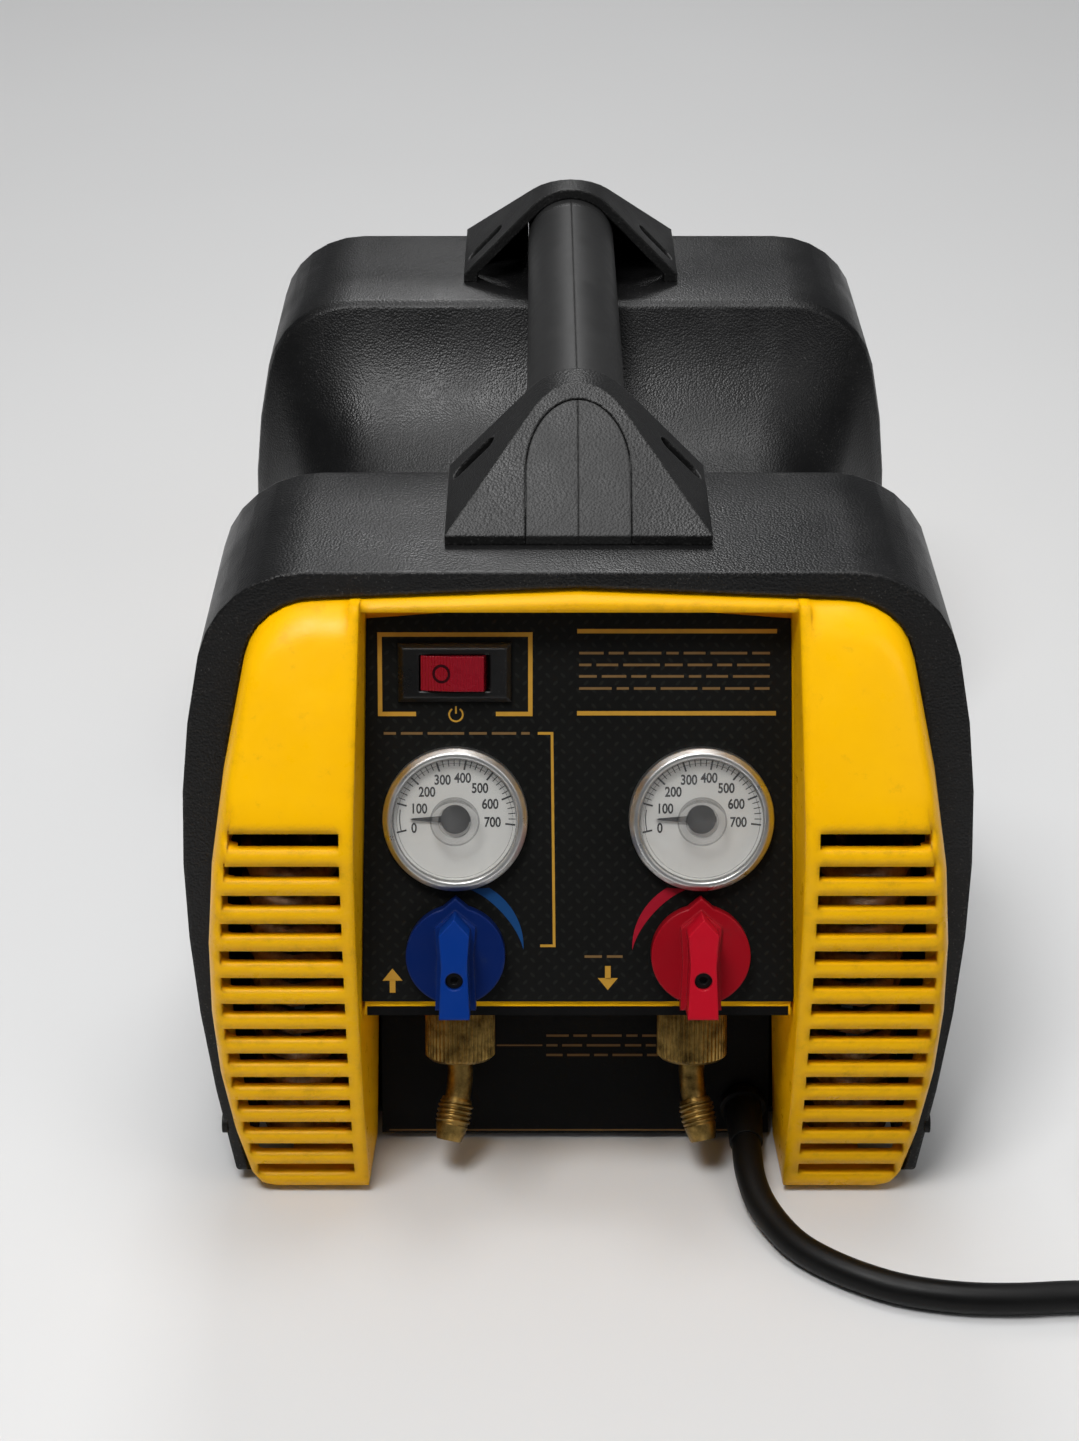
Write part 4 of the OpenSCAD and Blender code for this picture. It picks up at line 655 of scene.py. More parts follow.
@dataclass(frozen=True)
class TreadPrint(Finish):
    """Black print with a faint pattern of crossed tread bars.

    Attributes:
        colour: Colour of the ground.
        bar: Colour of the bars.
        cell: Distance between bars, in mm.
        turn: Angle of the bars to the plate's sides, in degrees.
        thinness: Power that makes a bar thinner across than along.
        bar_range: Range of the pattern over which a bar appears.
        bar_depth: Depth of the bars, in mm.
        edge: Radius that edges are softened to, in mm.
        patch_size: Size of the patches of roughness, in mm.
        rough_range: Roughness of the smooth and of the rough patches.
        gloss: Strength of its mirror-like reflection.
    """

    colour: Colour
    bar: Colour
    cell: float = 3.2
    turn: float = 45.0
    thinness: float = 5.0
    bar_range: Point2 = (0.25, 0.6)
    bar_depth: float = 0.02
    edge: float = 0.3
    patch_size: float = 20.0
    rough_range: Point2 = (0.48, 0.6)
    gloss: float = 0.14

    def paint(self, shader: Shader) -> None:
        """Fill the material's node tree.

        Args:
            shader: Builder of the node tree.
        """
        scale = math.pi / (self.cell * MM)
        flat = shader.moved((scale,) * 3, math.radians(PLANE.tilt - 90), math.radians(self.turn))
        across, along, _ = shader.axes(flat)
        first = shader.math("COSINE", across)
        second = shader.math("COSINE", along)
        both = shader.math("MULTIPLY", first, second)
        wide_a = shader.math("POWER", shader.math("ABSOLUTE", first), 2.0)
        wide_b = shader.math("POWER", shader.math("ABSOLUTE", second), 2.0)
        thin_a = shader.math("POWER", wide_a, self.thinness)
        thin_b = shader.math("POWER", wide_b, self.thinness)
        rising = shader.chain("MULTIPLY", wide_a, thin_b, shader.math("GREATER_THAN", both, 0.0))
        falling = shader.chain("MULTIPLY", wide_b, thin_a, shader.math("LESS_THAN", both, 0.0))
        bars = shader.span(shader.math("ADD", rising, falling), *self.bar_range)
        patches = shader.noise(self.patch_size, detail=5, rough=0.6)
        shader.set(
            Base_Color=shader.mix(bars, self.colour, self.bar),
            Roughness=shader.spread(patches, *self.rough_range),
            Specular_IOR_Level=self.gloss,
        )
        shader.relief(bars, self.bar_depth, self.edge)


@dataclass(frozen=True)
class ClearPlastic(Finish):
    """Thin clear plastic.

    Attributes:
        tint: Colour of the plastic.
        haze: Share of light that it holds back.
        film_size: Size of the patches of faint film, in mm.
        film_haze: Share of light that the film adds to the haze.
        film_shade: Brightness of the tint between the patches.
        rough_range: Roughness of the clear and of the filmed patches.
        gloss: Strength of its mirror-like reflection.
    """

    tint: Colour = (0.95, 0.97, 1.0)
    haze: float = 0.02
    film_size: float = 6.0
    film_haze: float = 0.03
    film_shade: float = 0.9
    rough_range: Point2 = (0.06, 0.16)
    gloss: float = 0.4

    def paint(self, shader: Shader) -> None:
        """Fill the material's node tree.

        Args:
            shader: Builder of the node tree.
        """
        film = shader.noise(self.film_size, detail=4, rough=0.6)
        shade = tuple(channel * self.film_shade for channel in self.tint)
        shader.set(
            Base_Color=shader.mix(film, shade, self.tint),
            Roughness=shader.spread(film, *self.rough_range),
            Alpha=shader.spread(film, self.haze, self.haze + self.film_haze),
            Specular_IOR_Level=self.gloss,
        )


SHELL = GrainedPlastic(
    "look_shell", Slot.SHELL, (0.004, 0.004, 0.0042), (0.14, 0.135, 0.13),
    grain=0.75, depth=0.1, roughness=0.36, wear=0.65, edge=1.8, gloss=0.32,
)
HANDLE = GrainedPlastic(
    "look_handle", Slot.HANDLE, (0.01, 0.01, 0.01), (0.2, 0.195, 0.19),
    grain=0.8, depth=0.13, roughness=0.42, wear=0.45, edge=1.0, gloss=0.32,
)
GRIP = GrainedPlastic(
    "look_grip", Slot.HANDLE, (0.02, 0.02, 0.02), (0.12, 0.117, 0.11),
    grain=0.8, depth=0.12, roughness=0.46, wear=0.35, edge=1.0, gloss=0.32, smooth_within=88.0,
)
YELLOW = MouldedColour(
    "look_yellow", Slot.PANEL, (0.95, 0.5, 0.0005), (0.9, 0.45, 0.0003), (0.22, 0.1, 0.004),
    roughness=0.3, marks=0.3, edge=4.5, gloss=0.16,
)
LABEL = TreadPrint("look_label", Slot.LABEL, (0.0028, 0.003, 0.0025), (0.0085, 0.009, 0.0075))
RECESS = GrainedPlastic(
    "look_recess", Slot.LABEL, (0.003, 0.003, 0.003), (0.06, 0.057, 0.05),
    grain=0.8, depth=0.04, roughness=0.5, wear=0.2, edge=0.5, gloss=0.12,
)
SWITCH = GrainedPlastic(
    "look_switch", Slot.SWITCH, (0.005, 0.005, 0.005), (0.1, 0.1, 0.1),
    grain=0.5, depth=0.02, roughness=0.34, wear=0.2, edge=0.9, gloss=0.4,
)
ROCKER = MouldedColour(
    "look_rocker", Slot.ROCKER, (0.22, 0.004, 0.012), (0.13, 0.002, 0.007), (0.04, 0.003, 0.005),
    roughness=0.26, marks=0.3, edge=0.4, ribs=0.9,
)
RIM = Metal(
    "look_rim", Slot.GAUGE, (0.72, 0.72, 0.71), (0.46, 0.45, 0.43),
    roughness=0.24, film=0.5, edge=0.8,
)
DIAL = MouldedColour(
    "look_dial", Slot.DIAL, (0.52, 0.515, 0.49), (0.46, 0.455, 0.43), (0.32, 0.31, 0.28),
    roughness=0.5, marks=0.2, edge=0.1,
)
LENS = ClearPlastic("look_lens", Slot.LENS)
# Painted shade: dark see-through rings on the lenses stand for the shaded edges of the lens and its boss, and
# a grey one lies across the boss
LENS_EDGE_SHADE = ClearPlastic("look_lens_edge_shade", Slot.LENS, (0.07, 0.07, 0.068), haze=0.46)
LENS_BOSS_SHADE = ClearPlastic("look_lens_boss_shade", Slot.LENS, (0.3, 0.295, 0.285), haze=0.34)
NEEDLE = Ink("look_needle", Slot.NEEDLE, (0.005, 0.005, 0.005))
INK = Ink("look_ink", Slot.NEEDLE, (0.006, 0.006, 0.006))
HUB = Ink("look_hub", Slot.NEEDLE, (0.022, 0.021, 0.019), roughness=0.4)
GOLD = Ink("look_gold", Slot.LABEL, (0.5, 0.27, 0.035), roughness=0.42)
PALE_GOLD = Ink("look_pale_gold", Slot.LABEL, (0.18, 0.105, 0.04))
MARK_BLUE = Ink("look_mark_blue", Slot.LABEL, (0.008, 0.055, 0.18), roughness=0.4)
MARK_RED = Ink("look_mark_red", Slot.LABEL, (0.34, 0.008, 0.022), roughness=0.4)
MARK_DARK = Ink("look_mark_dark", Slot.ROCKER, (0.025, 0.001, 0.003), roughness=0.4)
# The blue and red knobs get painted light: darker on the low disc, lighter on the raised bar
BLUE = MouldedColour(
    "look_blue", Slot.BLUE, (0.001, 0.03, 0.21), (0.001, 0.009, 0.07), (0.03, 0.05, 0.09),
    roughness=0.34, marks=0.3, edge=0.9, gloss=0.16, painted_light_rise=(6, 15),
)
RED = MouldedColour(
    "look_red", Slot.RED, (0.46, 0.004, 0.016), (0.24, 0.002, 0.007), (0.12, 0.03, 0.03),
    roughness=0.34, marks=0.3, edge=0.9, gloss=0.16, painted_light_rise=(6, 15),
)
BRASS = Metal("look_brass", Slot.BRASS, (0.36, 0.235, 0.07), (0.07, 0.044, 0.013), film=1.0)
COPPER = Metal("look_copper", Slot.COPPER, (0.6, 0.3, 0.18), (0.22, 0.1, 0.055), film=0.7)
TARNISH = Metal(
    "look_tarnished_copper", Slot.COPPER, (0.4, 0.29, 0.2), (0.1, 0.065, 0.04),
    roughness=0.34, film=0.9,
)
STEEL = Metal(
    "look_steel", Slot.STEEL, (0.5, 0.5, 0.5), (0.26, 0.25, 0.24),
    roughness=0.32, film=0.5, edge=0.2,
)
BLACKED = Metal("look_blacked_steel", Slot.STEEL, (0.03, 0.03, 0.03), (0.012, 0.012, 0.012), roughness=0.4)
ALLOY = Metal("look_alloy", Slot.ALLOY, (0.42, 0.42, 0.42), (0.2, 0.2, 0.2), roughness=0.45, edge=0.5)
RUBBER = GrainedPlastic(
    "look_rubber", Slot.RUBBER, (0.003, 0.003, 0.0029), (0.04, 0.04, 0.038),
    grain=0.6, depth=0.02, roughness=0.46, wear=0.25, edge=0.4, gloss=0.2,
)
FAN = GrainedPlastic(
    "look_fan", Slot.FAN, (0.014, 0.014, 0.015), (0.12, 0.12, 0.12),
    depth=0.03, roughness=0.5, wear=0.2, edge=0.3,
)


def dress(finish: Finish, *nodes: str) -> None:
    """Give CAD nodes a finish.

    Args:
        finish: The finish.
        nodes: Names of the nodes.
    """
    for name in nodes:
        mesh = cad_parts[name].data
        mesh.materials.clear()
        mesh.materials.append(finish.material())
    LOG.info("%s on %s", finish.name, ", ".join(nodes))


def soften(angle: float, *nodes: str) -> None:
    """Shade faceted CAD nodes as smooth surfaces.

    Args:
        angle: Angle in degrees over which an edge stays sharp.
        nodes: Names of the nodes.
    """
    for name in nodes:
        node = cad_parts[name]
        known = node.data.attributes.get("custom_normal")
        if known is not None:
            node.data.attributes.remove(known)
        node.data.shade_smooth()
        weld = node.modifiers.new("weld", "WELD")
        weld.merge_threshold = WELD_DISTANCE * MM
        split = node.modifiers.new("split", "EDGE_SPLIT")
        split.split_angle = math.radians(angle)
    LOG.info("smooth under %.0f degrees: %s", angle, ", ".join(nodes))


def add_mesh(
    name: str,
    points: Sequence[Vector],
    faces: Sequence[Sequence[int]],
    finish: Finish,
    body: str,
    smooth: float = 35.0,
) -> bpy.types.Object:
    """Make a mesh piece that rides on a body.

    Args:
        name: Name of the piece.
        points: Its vertices, in metres, in the shared frame.
        faces: Its faces, as rows of vertex numbers.
        finish: Its finish.
        body: CAD body that it moves with.
        smooth: Angle in degrees under which edges look smooth.

    Returns:
        The new object.
    """
    mesh = bpy.data.meshes.new(name)
    mesh.from_pydata([tuple(p) for p in points], [], [tuple(f) for f in faces])
    mesh.validate()
    mesh.shade_smooth()
    mesh.set_sharp_from_angle(angle=math.radians(smooth))
    mesh.materials.append(finish.material())
    piece = bpy.data.objects.new(name, mesh)
    bpy.context.scene.collection.objects.link(piece)
    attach(piece, body)
    LOG.info("%s: %d faces on %s", name, len(mesh.polygons), body)
    return piece


def add_rings(
    name: str,
    rings: Sequence[Sequence[Vector]],
    finish: Finish,
    body: str,
    smooth: float,
) -> bpy.types.Object:
    """Make a piece of closed rings that are joined by four-sided faces.

    Args:
        name: Name of the piece.
        rings: Rings of points, all of the same length, in metres.
        finish: Its finish.
        body: CAD body that it moves with.
        smooth: Angle in degrees under which edges look smooth.

    Returns:
        The new object.
    """
    count = len(rings[0])
    points = [point for ring in rings for point in ring]
    faces = [
        (low + i, low + (i + 1) % count, low + count + (i + 1) % count, low + count + i)
        for low in range(0, (len(rings) - 1) * count, count)
        for i in range(count)
    ]
    return add_mesh(name, points, faces, finish, body, smooth)


class Print:
    """Flat ink shapes, gathered into one piece."""

    def __init__(self, place: Matrix) -> None:
        """Start an empty print.

        Args:
            place: Matrix from the print's millimetres to the shared frame.
        """
        self.place = place
        self.points: list[Point2] = []
        self.faces: list[tuple[int, ...]] = []

    def polygon(self, outline: Sequence[Point2]) -> None:
        """Add a filled shape.

        Args:
            outline: Its corners.
        """
        first = len(self.points)
        self.points.extend(outline)
        self.faces.append(tuple(range(first, first + len(outline))))

    def band(self, left: Sequence[Point2], right: Sequence[Point2]) -> None:
        """Add a strip between two rows of points of the same length."""
        for i in range(len(left) - 1):
            self.polygon([left[i], right[i], right[i + 1], left[i + 1]])

    def stroke(self, points: Sequence[Point2], width: float) -> None:
        """Add a line of even width with mitred corners.

        Args:
            points: Corners of the line.
            width: Its width.
        """
        line = [Vector(p) for p in points]
        sides: list[tuple[Vector, Vector]] = []
        for i, point in enumerate(line):
            before = (point - line[i - 1]).normalized() if i else (line[1] - point).normalized()
            after = (line[i + 1] - point).normalized() if i < len(line) - 1 else before
            normal = Vector((-before.y, before.x)) + Vector((-after.y, after.x))
            normal.normalize()
            reach = width / 2 / max(MITRE_LIMIT, normal.dot(Vector((-after.y, after.x))))
            sides.append((point + normal * reach, point - normal * reach))
        self.band([tuple(s[0]) for s in sides], [tuple(s[1]) for s in sides])

    def level(self, left: float, right: float, height: float, width: float) -> None:
        """Add a level line between two places."""
        self.stroke([(left, height), (right, height)], width)

    def arc(
        self,
        centre: Point2,
        radius: float,
        width: float,
        start: float = 0.0,
        end: float = 360.0,
        steps: int = 40,
    ) -> None:
        """Add part of a ring.

        Args:
            centre: Its centre.
            radius: Its middle radius.
            width: Its width.
            start: Start angle, in degrees.
            end: End angle, in degrees.
            steps: Number of steps along it.
        """
        angles = [math.radians(start + (end - start) * i / steps) for i in range(steps + 1)]
        self.band(*(
            [(centre[0] + r * math.cos(a), centre[1] + r * math.sin(a)) for a in angles]
            for r in (radius - width / 2, radius + width / 2)
        ))

    def words(self, text: str, centre: Point2, height: float, squeeze: float) -> None:
        """Add figures.

        Args:
            text: The figures.
            centre: Middle of the text.
            height: Height of a figure.
            squeeze: Width of the figures against the font's own.
        """
        curve = bpy.data.curves.new("figures", "FONT")
        curve.body = text
        curve.offset = FIGURE_WEIGHT
        curve.align_x = "CENTER"
        curve.align_y = "CENTER"
        holder = bpy.data.objects.new("figures", curve)
        bpy.context.scene.collection.objects.link(holder)
        shape = holder.evaluated_get(bpy.context.evaluated_depsgraph_get())
        mesh = shape.to_mesh()
        size = height / FIGURE_HEIGHT
        first = len(self.points)
        corners = (v.co for v in mesh.vertices)
        self.points.extend((centre[0] + c.x * size * squeeze, centre[1] + c.y * size) for c in corners)
        self.faces.extend(tuple(first + i for i in p.vertices) for p in mesh.polygons)
        shape.to_mesh_clear()
        bpy.data.objects.remove(holder)
        bpy.data.curves.remove(curve)

    def build(self, name: str, finish: Finish, body: str) -> bpy.types.Object:
        """Make the print a piece that moves with a CAD body."""
        points = [self.place @ Vector((x, y, 0)) for x, y in self.points]
        return add_mesh(name, points, self.faces, finish, body)


class Assembly(ABC):
    """A sub-assembly: its own pieces and the finishes of its CAD nodes."""

    @abstractmethod
    def dress(self) -> None:
        """Give the CAD nodes their finishes."""

    def build(self) -> None:
        """Make the pieces that the CAD leaves to the scene."""


@dataclass
class Enclosure(Assembly):
    """Shell, yellow end panels, feet and panel screws."""

    def dress(self) -> None:
        """Give the CAD nodes their finishes."""
        dress(SHELL, "body_shell")
        dress(YELLOW, "front_panel", "rear_panel")
        dress(BLACKED, "panel_screws")
        dress(RUBBER, "rubber_feet")
        soften(30, "body_shell")
        soften(24, "front_panel", "rear_panel")


@dataclass
class CarryHandle(Assembly):
    """Two-part grip with its brackets and screws."""

    def dress(self) -> None:
        """Give the CAD nodes their finishes."""
        dress(GRIP, "handle_left_half", "handle_right_half")
        dress(HANDLE, "front_handle_bracket", "rear_handle_bracket")
        dress(STEEL, "handle_screws")
        soften(30, "front_handle_bracket", "rear_handle_bracket", "handle_left_half", "handle_right_half")


@dataclass
class ControlLabel(Assembly):
    """Printed control plate and the plain plate of the connector recess.

    All sizes are in mm. A note row is its left end, right end, height and number.

    Attributes:
        lift: Height of the ink over what it is printed on.
        line: Width of the gold lines.
        thin_line: Width of the thin lines and of the power sign.
        frame_box: Left, lower, right and upper side of the frame round the switch.
        frame_gap: Start and end of the gap in the frame's lower side.
        rule_ends: Left and right end of the two rules.
        rule_heights: Heights of the two rules.
        bracket: Corners of the bracket beside the inlet gauge.
        bracket_line: Width of the bracket's line.
        power_place: Centre of the power sign.
        power_radius: Radius of the power sign.
        power_arc: Start and end angle of its ring, in degrees.
        power_bar: Start of its bar over the centre, and end of the bar past the ring.
        inlet_arrow: Centre of the arrow into the machine.
        outlet_arrow: Centre of the arrow out of it.
        arrow_length: Length of an arrow.
        arrow_half: Half width of an arrow's head.
        shaft: Width of an arrow's shaft.
        shaft_overlap: Share of the head's length that the shaft runs into.
        plate_notes: Note rows on the control plate.
        recess_notes: Note rows on the lower plate.
        recess_lines: Left end, right end and height of the thin lines on the lower plate.
        recess_depth: Depth of the lower plate behind the plane.
        note_pieces: Lengths of the pieces of a note row, in turn.
        note_gap: Gap between the pieces.
        note_shift: Number of pieces by which the turn of each next row starts later.
        note_width: Width of a note row.
        shade_strip_half: Half length of the dark strip of painted shade over the lip's lower part.
        shade_strip_height: Height of the strip's middle.
        shade_strip_width: Width of the strip.
        mark_height: Height of the centre that the colour marks curve round.
        mark_outer: Start angle in degrees, start radius and dip of a mark's outer edge.
        mark_inner: The same for its inner edge.
        mark_tip: Angle in degrees and radius of its tip.
    """

    lift: float = 0.04
    line: float = 1.3
    thin_line: float = 0.5
    frame_box: tuple[float, float, float, float] = (-58.6, 87.2, -14.2, 110.8)
    frame_gap: Point2 = (-48.0, -24.4)
    rule_ends: Point2 = (-0.4, 58.4)
    rule_heights: Point2 = (87.4, 111.8)
    bracket: tuple[Point2, ...] = ((-12.0, 81.4), (-7.8, 81.4), (-7.1, 17.1), (-11.3, 17.1))
    bracket_line: float = 0.8
    power_place: Point2 = (-36.2, 87.0)
    power_radius: float = 2.0
    power_arc: Point2 = (125.0, 415.0)
    power_bar: Point2 = (0.3, 0.5)
    inlet_arrow: Point2 = (-55.6, 6.4)
    outlet_arrow: Point2 = (9.0, 7.2)
    arrow_length: float = 7.4
    arrow_half: float = 3.0
    shaft: float = 1.7
    shaft_overlap: float = 0.1
    plate_notes: tuple[NoteRow, ...] = (
        (0.2, 57.8, 105.3, 0),
        (0.2, 57.8, 101.8, 1),
        (0.2, 57.8, 98.4, 2),
        (0.2, 57.8, 94.8, 3),
        (-57.6, -14.4, 81.4, 1),
        (2.0, 13.4, 13.8, 2),
    )
    recess_notes: tuple[NoteRow, ...] = (
        (-9.3, 26.5, -24.1, 0),
        (-9.3, 26.0, -27.3, 1),
        (-9.3, 30.4, -30.5, 2),
    )
    recess_lines: tuple[Point3, ...] = ((-25.3, -10.6, -27.3), (-60.0, 57.0, -55.4))
    recess_depth: float = 49.0
    note_pieces: tuple[float, ...] = (7.2, 4.4, 9.6, 3.6, 6.4, 10.8, 5.2)
    note_gap: float = 1.5
    note_shift: int = 3
    note_width: float = 0.75
    shade_strip_half: float = 63.4
    shade_strip_height: float = -3.15
    shade_strip_width: float = 2.8
    mark_height: float = 15.2
    mark_outer: Point3 = (63.0, 22.0, 0.0)
    mark_inner: Point3 = (78.0, 19.6, -1.6)
    mark_tip: Point2 = (2.0, 20.2)

    def dress(self) -> None:
        """Give the CAD nodes their finishes."""
        dress(LABEL, "control_plate")
        dress(RECESS, "connector_plate")

    def build(self) -> None:
        """Make the printed lines, signs and colour marks, and the dark strip of painted shade on the lip."""
        place = PLANE.at(0, 0, PLANE.top + self.lift)
        self.gold_print(place)
        notes = Print(place)
        self.note_rows(notes, self.plate_notes)
        notes.build("label_note_lines", PALE_GOLD, CASE)
        for side, name, finish in (
            (Side.INLET, "label_blue_mark", MARK_BLUE),
            (Side.OUTLET, "label_red_mark", MARK_RED),
        ):
            mark = Print(place)
            self.crescent(mark, side)
            mark.build(name, finish, CASE)
        # Painted shade: a dark strip, in the recess plate's finish, over the lip's lower part
        strip = Print(PLANE.at(0, 0, self.lift))
        strip.level(-self.shade_strip_half, self.shade_strip_half, self.shade_strip_height, self.shade_strip_width)
        strip.build("lip_painted_shade", RECESS, CASE)
        lower = Print(PLANE.at(0, 0, self.lift - self.recess_depth))
        for left, right, height in self.recess_lines:
            lower.level(left, right, height, self.thin_line)
        self.note_rows(lower, self.recess_notes)
        lower.build("recess_note_lines", PALE_GOLD, CASE)

    def gold_print(self, place: Matrix) -> None:
        """Make the gold frame, rules, bracket and signs.

        Args:
            place: Place of the print.
        """
        ink = Print(place)
        left, low, right, high = self.frame_box
        start, end = self.frame_gap
        frame_line = [(start, low), (left, low), (left, high), (right, high), (right, low), (end, low)]
        ink.stroke(frame_line, self.line)
        for height in self.rule_heights:
            ink.level(*self.rule_ends, height, self.line)
        ink.stroke(self.bracket, self.bracket_line)
        self.power_sign(ink)
        self.arrow(ink, self.inlet_arrow, 1)
        self.arrow(ink, self.outlet_arrow, -1)
        ink.build("label_gold_print", GOLD, CASE)

    def note_rows(self, ink: Print, rows: Sequence[NoteRow]) -> None:
        """Draw thin broken lines where notes would stand.

        Args:
            ink: Print that takes them.
            rows: The note rows. The number of a row sets which piece it starts with.
        """
        for left, right, height, row in rows:
            x = left
            turn = row * self.note_shift
            while x < right - self.note_gap:
                end = min(x + self.note_pieces[turn % len(self.note_pieces)], right)
                ink.level(x, end, height, self.note_width)
                x = end + self.note_gap
                turn += 1

    def power_sign(self, ink: Print) -> None:
        """Draw the common on and off sign.

        Args:
            ink: Print that takes it.
        """
        x, y = self.power_place
        below, past = self.power_bar
        ink.arc(self.power_place, self.power_radius, self.thin_line, *self.power_arc)
        ink.stroke([(x, y + below), (x, y + self.power_radius + past)], self.thin_line)

    def arrow(self, ink: Print, centre: Point2, way: int) -> None:
        """Draw a plain arrow for the direction of flow.

        Args:
            ink: Print that takes it.
            centre: Its centre.
            way: 1 for up into the machine, -1 for down and out.
        """
        x, y = centre
        half = self.arrow_length / 2 * way
        ink.stroke([(x, y - half), (x, y + half * self.shaft_overlap)], self.shaft)
        ink.polygon([(x - self.arrow_half, y), (x + self.arrow_half, y), (x, y + half)])

    def crescent(self, ink: Print, side: Side) -> None:
        """Draw the tapered arc from a gauge to the middle line beside its knob.

        Args:
            ink: Print that takes it.
            side: Refrigerant side.
        """
        steps = 24
        tip_angle, tip_radius = self.mark_tip
        edges: tuple[list[Point2], list[Point2]] = ([], [])
        for i in range(steps + 1):
            share = i / steps
            for row, (start, reach, dip) in zip(edges, (self.mark_outer, self.mark_inner)):
                angle = math.radians(start + (tip_angle - start) * share)
                radius = reach + (tip_radius - reach) * share + dip * math.sin(math.pi * share)
                across = side.value * (PLANE.half_span - radius * math.cos(angle))
                row.append((across, self.mark_height + radius * math.sin(angle)))
        ink.band(*edges)


@dataclass
class PressureGauge(Assembly):
    """Small round gauge with a printed dial.

    All sizes are in mm and all angles in degrees from +X. A ring is its radius and width.

    Attributes:
        side: Refrigerant side.
        up: Height of its centre on the plane.
        dial_out: Height of the dial's face over the plane.
        lift: Height of a print over the dial or the hub.
        zero: Angle of the scale's zero.
        sweep: Angle for each hundred.
        hundreds: Number of hundreds on the scale.
        divisions: Number of small steps in each hundred.
        tick_radius: Outer radius of the scale.
        main_tick: Length and width of the line at each hundred.
        small_tick: Length and width of the lines between.
        figure_radius: Radius that the figures sit at.
        figure_inset: How much nearer the centre a figure at the side sits.
        figure_height: Height of a figure.
        figure_squeeze: Width of the figures against the font's own.
        zero_arc: Ring of the thin arc beside the zero.
        zero_arc_ends: Start and end of that arc.
        hub_radius: Radius of the cap on the needle's hub.
        hub_hole: Width of the pinhole in the cap.
        hub_out: Height of the needle's hub over the plane.
        blade_out: Height of the needle's black face over the plane.
        blade: Corners of the needle's black face.
        lens_out: Height of the lens over the plane.
        boss: Height of the boss over the lens.
        film: Height of the rings over the lens.
        edge_rings: Rings of painted shade at the lens's rim.
        boss_rings: Rings of painted shade at the boss's two edges.
        shade_rings: Ring of painted shade between the boss's edges.
        shadow_ends: Start and end of the crescent of painted shadow on the boss.
        shadow_radius: Outer radius of the crescent.
        shadow_width: Width of the crescent in its middle.
    """

    side: Side
    up: float = 56.0
    dial_out: float = 2.6
    lift: float = 0.05
    zero: float = 193.5
    sweep: float = 28.5
    hundreds: int = 7
    divisions: int = 5
    tick_radius: float = 17.9
    main_tick: Point2 = (3.0, 0.55)
    small_tick: Point2 = (2.1, 0.28)
    figure_radius: float = 12.6
    figure_inset: float = 1.5
    figure_height: float = 2.9
    figure_squeeze: float = 0.8
    zero_arc: Point2 = (16.5, 0.3)
    zero_arc_ends: Point2 = (170.5, 194.0)
    hub_radius: float = 4.2
    hub_hole: float = 0.02
    hub_out: float = 4.0
    blade_out: float = 3.55
    blade: tuple[Point2, ...] = ((-4.0, 1.0), (-4.0, -1.0), (-12.6, -0.3), (-13.3, 0.0), (-12.6, 0.3))
    lens_out: float = 6.2
    boss: float = 1.4
    film: float = 0.03
    edge_rings: tuple[Point2, ...] = ((18.3, 0.5), (17.2, 0.18))
    boss_rings: tuple[Point2, ...] = ((7.05, 0.6), (4.75, 0.3))
    shade_rings: tuple[Point2, ...] = ((5.8, 1.8),)
    shadow_ends: Point2 = (20.0, 160.0)
    shadow_radius: float = 6.75
    shadow_width: float = 1.1

    def dress(self) -> None:
        """Give the CAD nodes their finishes."""
        key = self.side.key
        dress(RIM, f"{key}_gauge_case")
        dress(DIAL, f"{key}_gauge_dial")
        dress(LENS, f"{key}_gauge_lens")
        dress(NEEDLE, f"{key}_needle")
        dress(COPPER, f"{key}_gauge_line")

    def build(self) -> None:
        """Make the dial's print, the rings of painted shade on the lens and the faces of the needle."""
        self.dial_print()
        self.lens_rings()
        self.pointer_faces()

    def sheet(self, out: float) -> Print:
        """Start a print round the gauge's centre, so far out from the plane in mm."""
        return Print(PLANE.at(self.side.value * PLANE.half_span, self.up, out))

    def dial_print(self) -> None:
        """Make the scale and the figures."""
        ink = self.sheet(self.dial_out + self.lift)
        for step in (0, *range(self.divisions, self.hundreds * self.divisions + 1)):
            angle = math.radians(self.zero - self.sweep * step / self.divisions)
            main = step % self.divisions == 0
            length, width = self.main_tick if main else self.small_tick
            direction = Vector((math.cos(angle), math.sin(angle)))
            ends = (direction * (self.tick_radius - length), direction * self.tick_radius)
            ink.stroke([tuple(end) for end in ends], width)
            if main:
                inward = self.figure_inset * abs(direction.x) if step else 0.0
                middle = tuple(direction * (self.figure_radius - inward))
                ink.words(str(step * 100 // self.divisions), middle, self.figure_height, self.figure_squeeze)
        ink.arc((0, 0), *self.zero_arc, *self.zero_arc_ends, steps=12)
        ink.build(f"{self.side.key}_dial_print", INK, CASE)

    def lens_rings(self) -> None:
        """Make the rings of painted shade that show the edges of the lens and of its boss, with the crescent
        of painted shadow on the boss.
        """
        boss_out = self.lens_out + self.boss
        # Rings of painted shade on the lens, and a crescent of painted shadow on the boss
        for name, out, finish, rings in (
            ("lens_edge_shade", self.lens_out, LENS_EDGE_SHADE, self.edge_rings),
            ("boss_edge_shade", boss_out, LENS_EDGE_SHADE, self.boss_rings),
            ("boss_shade", boss_out, LENS_BOSS_SHADE, self.shade_rings),
        ):
            ink = self.sheet(out + self.film)
            for radius, width in rings:
                ink.arc((0, 0), radius, width, steps=64)
            if name == "boss_edge_shade":
                self.shadow(ink)
            ink.build(f"{self.side.key}_{name}", finish, CASE)

